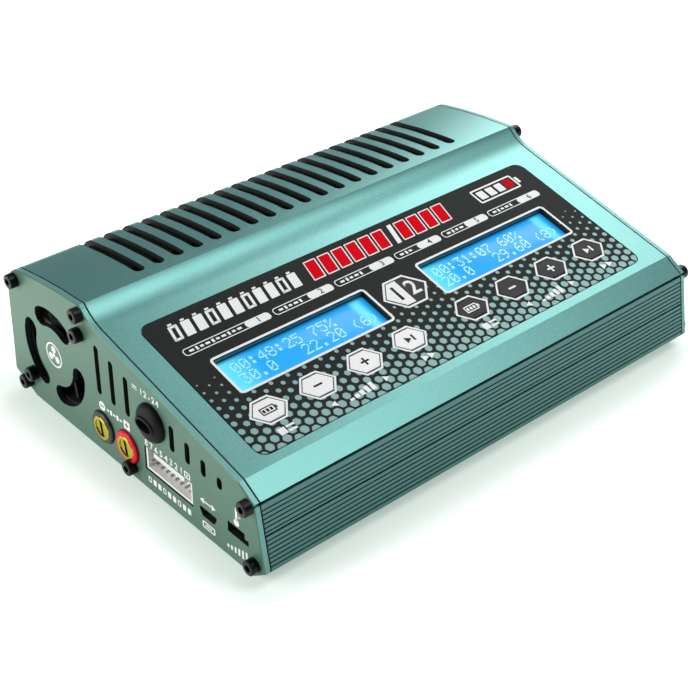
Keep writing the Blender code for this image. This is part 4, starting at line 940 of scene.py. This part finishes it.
# --- plate marks
class ChargerPlateMarks(Maker, bpy.types.Operator):
    """White marks on both end plates: numbers and plain signs"""
    bl_idname = "charger.plate_marks"
    bl_label = "End plate marks"

    def make(self):
        for side in (LEFT, RIGHT):
            self.marks(side, SIDE_NAME[side])

    def marks(self, side, name):
        ink = Print()

        def at(y):
            """Place across this plate of a distance back from the case's front."""
            return side * (y - HALF_DEPTH / MM)
        red_lo, red_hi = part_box("socket_pos_" + name)
        grey_lo, grey_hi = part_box("socket_neg_" + name)
        red = side * (red_lo.y + red_hi.y) / 2 / MM
        grey = side * (grey_lo.y + grey_hi.y) / 2 / MM
        # a disc and a block over the outputs, dashes between them
        row = 21.0
        ink.spot(grey, row, 3.5)
        ink.block(red, row, 3.3, 3.3, corner=0.4)
        for i in range(5):
            ink.block(grey + (red - grey) * (0.24 + 0.13 * i), row, 1.15, 1.9 if i % 2 else 0.8)
        # numbers and a sign over the header, cells below it
        above, below = 20.4, 6.1
        for i in range(8):
            ink.word(at(58.6 - 2.62 * i), above, str(8 - i), 3.4, 0.11)
        ink.block(at(37.3), above, 3.0, 2.6, corner=0.3, line=0.5)
        ink.block(at(37.3), above, 1.2, 0.45)
        for i in range(9):
            ink.block(at(58.0 - 2.6 * i), below, 1.7, 2.3, corner=0.35,
                      line=0.0 if i % 3 else 0.45)
        # direct current sign and its range, above the cable
        if side == LEFT:
            current = at(63.0)
            ink.block(current, 40.0, 2.6, 0.42)
            for i in (-1, 0, 1):
                ink.block(current + 0.95 * i, 39.1, 0.68, 0.42)
            for i, figure in enumerate("12-24"):
                ink.word(at(59.4 - 2.1 * i), 39.6, figure, 3.4, 0.1)
        # turning blades in the middle of the fan openings
        fan, hub = at(110.6), 26.4
        for turn in range(3):
            angle = math.radians(90 + 120 * turn)
            ink.spot(fan + 2.2 * math.cos(angle), hub + 2.2 * math.sin(angle), 2.6, corners=20)
        ink.spot(fan, hub, 1.6, corners=20)
        ink.spot(fan, hub, 9.4, line=0.6, corners=40)
        # two-way arrows over the small socket, its outline below
        small, arrows = at(27.3), 15.5
        ink.block(small, arrows, 3.4, 0.6)
        ink.triangle(small - 2.6, arrows, 2.6, math.pi / 2)
        ink.triangle(small + 2.6, arrows, 2.6, -math.pi / 2)
        ink.block(small, below, 6.4, 2.7, corner=0.7, line=0.55)
        ink.block(small, below, 3.4, 0.6)
        # thermometer with its scale towards the front, rising bars below
        probe = at(13.2)
        ink.block(probe, 20.8, 1.0, 5.0, corner=0.3)
        ink.spot(probe, 17.4, 2.6, corners=20)
        for i in range(3):
            ink.block(probe - side * 1.5, 20.2 + 1.2 * i, 1.0, 0.4)
        for i in range(6):
            ink.block(probe + (i - 2.5) * 1.8, 5.6 + 0.25 * i, 0.9, 1.2 + 0.5 * i)
        ink.lay(PLATE[side], -0.002, "plate_marks_" + name, "white_ink")
        # signs left open in the two solid marks, and a dark ring round each socket ring, painted shade
        # of the gap there
        gaps = Print()
        gaps.block(grey, row, 2.1, 0.6)
        for x, y, wide, high in ((0, 0, 2.0, 0.6), (0, 0.65, 0.6, 0.7), (0, -0.65, 0.6, 0.7)):
            gaps.block(red + x, row + y, wide, high)
        gaps.lay(PLATE[side], 0.03, "plate_signs_" + name, "plate_ink",
                 thickness=0.02)
        # painted shade: a dark ring on the plate where the gap round each socket ring lies
        gap_shade = Print()
        for x in (grey, red):
            gap_shade.spot(x, 12.6, 12.3, line=0.6, corners=48)
        gap_shade.lay(PLATE[side], -0.002, "socket_gap_shade_" + name, "dark_ink",
                  thickness=0.02)


# --- label marks
class ChargerLabelMarks(Maker, bpy.types.Operator):
    """Printed marks on the label: cells, level blocks, value plates, frames and key signs"""
    bl_idname = "charger.label_marks"
    bl_label = "Label marks"

    def make(self):
        white = Print()
        # a row of slanted cells, every third one open
        for i in range(11):
            x = 20.6 + 4.86 * i
            white.block(x - 0.15, 59.4, 3.5, 6.6, slant=1.3, corner=0.3, line=0.0 if i % 3 else 1.0)
            white.block(x + 0.75, 63.4, 1.5, 0.8, slant=0.15)
        # two groups of level blocks with a bar between them
        levels = [x + 6.1 * i - 0.3 for x, count in ((78.4, 6), (119.7, 4)) for i in range(count)]
        level_row, battery_row, value_row, sign_row = 60.2, 60.0, 50.6, 8.6
        for x in levels:
            white.block(x, level_row, 5.2, 9.2, slant=2.0, corner=0.35, line=0.45)
        white.block(114.4, level_row, 1.9, 9.4, slant=2.6)
        # battery outline with level bars
        white.block(166.6, battery_row, 21.0, 7.4, corner=0.8, line=0.75)
        white.block(178.2, battery_row, 1.3, 3.2)
        for i in range(3):
            white.block(159.6 + 4.6 * i, battery_row, 3.4, 4.2, corner=0.3)
        # plates for values: dashes on the left, a solid field from the split on
        plates = ((17.75, 52.25, 42.25), (53.75, 79.0, 68.5), (80.4, 106.4, 96.0),
                  (107.75, 129.0, 118.5), (130.4, 152.5, 141.9), (153.75, 180.0, 169.1))
        for start, end, split in plates:
            white.block((start + end) / 2, value_row, end - start, 3.3, corner=1.3, line=0.35)
            white.block((split + end - 0.36) / 2, value_row, end - split - 0.36, 2.58, corner=0.93)
            x, step = start + 2.2, 0
            while x < split - 3.0:
                width, height = ((1.7, 0.9), (0.9, 1.5), (1.3, 0.9))[step % 3]
                white.block(x + width / 2, value_row, width, height)
                x += width + 0.8
                step += 1
        # window frames and key frames
        for x in WINDOW_X:
            white.block(x, WINDOW_S, 64.6, 17.4, corner=1.7, line=0.9)
        keys = [key_centre("key_%d" % number) for number in range(1, 9)]
        channel = key_centre("key_channel")
        for x, s in keys:
            white.hexagon(x, s, 14.9, 10.7, line=0.7)
        white.hexagon(*channel, 19.6, 14.0, line=0.8)
        # signs under the keys
        for group in (0, 4):
            first, second, third, fourth = (keys[group + i][0] for i in range(4))
            white.block(first - 1.9, sign_row, 2.7, 2.7)
            for up in (0.9, -0.9):
                white.block(first + 1.6, sign_row + up, 3.2, 0.8)
            white.triangle(second - 0.6, sign_row, 2.8, math.pi / 2)
            for i in range(5):
                white.block(second + 5.4 + 2.3 * i, 7.25 + 0.3 * i, 1.6, 0.9 + 0.6 * i)
            for x, size in ((third + 0.9, 2.8), (fourth - 1.6, 3.2), (fourth + 1.2, 3.2)):
                white.triangle(x, sign_row, size, -math.pi / 2)
        white.lay(PANEL, FILM_TOP - 0.005, "label_marks_white", "white_ink")
        red = Print()
        for x in levels:
            red.block(x, level_row, 4.2, 8.2, slant=1.75, corner=0.25)
        red.block(173.4, battery_row, 3.4, 4.2, corner=0.3)
        red.lay(PANEL, FILM_TOP - 0.004, "label_marks_red", "red_ink")
        dark = Print()
        for number, (_, end, split) in enumerate(plates, 1):
            dark.word((split + end) / 2 + 0.3, value_row, str(number), 3.4, 0.04)
        dark.lay(PANEL, FILM_TOP + 0.035, "label_marks_dark", "dark_ink", thickness=0.02)
        # plain ground between each frame and its key
        ground = Print()
        for x, s in keys:
            ground.hexagon(x, s, 14.6, 10.45, line=0.9)
        ground.hexagon(*channel, 19.3, 13.75, line=0.75)
        ground.lay(PANEL, FILM_TOP - 0.012, "key_grounds", "dark_ink", thickness=0.02)


# --- key legends
class ChargerLegends(Maker, bpy.types.Operator):
    """Signs on the key caps; each one rides on its key"""
    bl_idname = "charger.legends"
    bl_label = "Key signs"

    def make(self):
        for number in range(1, 9):
            node = "key_%d" % number
            x, s = key_centre(node)
            sign = Print()
            kind = (number - 1) % 4
            # battery, minus, plus, then play
            if kind == 0:
                sign.block(x - 0.3, s, 5.6, 3.0, corner=0.35, line=0.45)
                sign.block(x + 2.85, s, 0.55, 1.3)
                for i in range(3):
                    sign.block(x - 1.9 + 1.45 * i, s, 0.95, 1.3)
            elif kind == 3:
                sign.triangle(x - 0.9, s, 3.2, -math.pi / 2)
                sign.block(x + 1.5, s, 0.8, 2.7)
            else:
                sign.block(x, s, 3.4, 0.75)
                if kind == 2:
                    for up in (-1, 1):
                        sign.block(x, s + up * 1.04, 0.75, 1.32)
            light = number > 4
            sign.lay(PANEL, KEY_TOP - 0.004, "sign_%d" % number, "white_ink" if light else "dark_ink",
                     node + "_body", 0.03)
        x, s = key_centre("key_channel")
        size, bold = 9.4, 0.14
        face = Print()
        face.hexagon(x, s, 16.7, 11.4, half=-1)
        face.word(x + 3.5, s, "2", size, bold)
        face.lay(PANEL, KEY_TOP - 0.006, "channel_face", "white_ink",
                 "key_channel_body", 0.03)
        figure = Print()
        figure.word(x - 3.3, s, "1", size, bold)
        figure.lay(PANEL, KEY_TOP + 0.022, "channel_figure", "dark_ink",
                   "key_channel_body", 0.02)


# --- screens
# each figure's seven rows from the top, five dots to a row
FIGURES = {
    "0": (14, 17, 19, 21, 25, 17, 14), "1": (4, 12, 4, 4, 4, 4, 14), "2": (14, 17, 1, 2, 4, 8, 31),
    "3": (31, 2, 4, 2, 1, 17, 14), "4": (2, 6, 10, 18, 31, 2, 2), "5": (31, 16, 30, 1, 1, 17, 14),
    "6": (6, 8, 16, 30, 17, 17, 14), "7": (31, 1, 2, 4, 8, 8, 8), "8": (14, 17, 17, 14, 17, 17, 14),
    "9": (14, 17, 17, 15, 1, 2, 12), ":": (0, 12, 12, 0, 12, 12, 0), ".": (0, 0, 0, 0, 0, 12, 12),
    "(": (2, 4, 8, 8, 8, 4, 2), ")": (8, 4, 2, 2, 2, 4, 8), "%": (24, 25, 2, 4, 8, 19, 3),
}


class ChargerScreens(Maker, bpy.types.Operator):
    """Backlit displays with dot figures, in the recess of each window"""
    bl_idname = "charger.screens"
    bl_label = "Displays"

    def make(self):
        self.display("left", WINDOW_X[0], ("00:48:25 75%", "30.0   22.20 (6)"))
        self.display("right", WINDOW_X[1], ("00:31:07 60%", "20.0   29.60 (8)"))

    def display(self, side, x, rows):
        thick = sizes().screen_height
        centre = (x * MM, WINDOW_S * MM, 0)
        glass = begin("plane", size=MM, location=centre)
        scale(*SCREEN_SIZE, 1, centre)
        rounded(0.8, 4, "VERTICES")
        raise_region(thick)
        pick("FACE", lambda face: face.calc_center_median().z > thick * 0.9)
        rounded(0.12, 2)
        outwards()
        settle(glass, PANEL @ Matrix.Translation((0, 0, GLASS * MM)), "lit_screen_" + side,
               "screen_" + side)
        dots = Print()
        pitch, dot, tall = sizes().dot_pitch / MM, sizes().dot / MM, 1.12
        line_pitch, figure_pitch = 5.3, 3.56
        for row, line in enumerate(rows):
            top = 41.1 - line_pitch * row
            for place, figure in enumerate(line):
                start = x - 26.8 + figure_pitch * place
                for level, bits in enumerate(FIGURES.get(figure, ())):
                    for column in range(5):
                        if bits >> (4 - column) & 1:
                            dots.block(start + pitch * column,
                                       top - (level + 0.5) * pitch * tall, dot, dot * tall)
        dots.lay(PANEL, GLASS + thick / MM - 0.005, "screen_figures_" + side, "digits",
                 thickness=0.03)


# --- panel
OPERATORS = (ChargerStage, ChargerFinishes, ChargerScrews, ChargerGrommet, ChargerContacts,
             ChargerHeaders, ChargerPlateMarks, ChargerLabelMarks, ChargerLegends, ChargerScreens)


class ChargerPanel(bpy.types.Panel):
    """Steps that dress the charger"""
    bl_idname = "VIEW3D_PT_charger"
    bl_label = "Balance charger"
    bl_space_type = "VIEW_3D"
    bl_region_type = "UI"
    bl_category = "Charger"

    def draw(self, context):
        for group in (context.scene.charger_colours, context.scene.charger_sizes):
            for name in group.__annotations__:
                self.layout.prop(group, name)
        for operator in OPERATORS:
            self.layout.operator(operator.bl_idname)


CLASSES = (ChargerColours, ChargerSizes) + OPERATORS + (ChargerPanel,)


def register():
    for item in CLASSES:
        bpy.utils.register_class(item)
    bpy.types.Scene.charger_colours = bpy.props.PointerProperty(type=ChargerColours)
    bpy.types.Scene.charger_sizes = bpy.props.PointerProperty(type=ChargerSizes)


def unregister():
    del bpy.types.Scene.charger_sizes
    del bpy.types.Scene.charger_colours
    for item in reversed(CLASSES):
        bpy.utils.unregister_class(item)


def main():
    register()
    for operator in OPERATORS:
        getattr(bpy.ops.charger, operator.bl_idname.split(".")[1])()


if __name__ == "__main__":
    main()
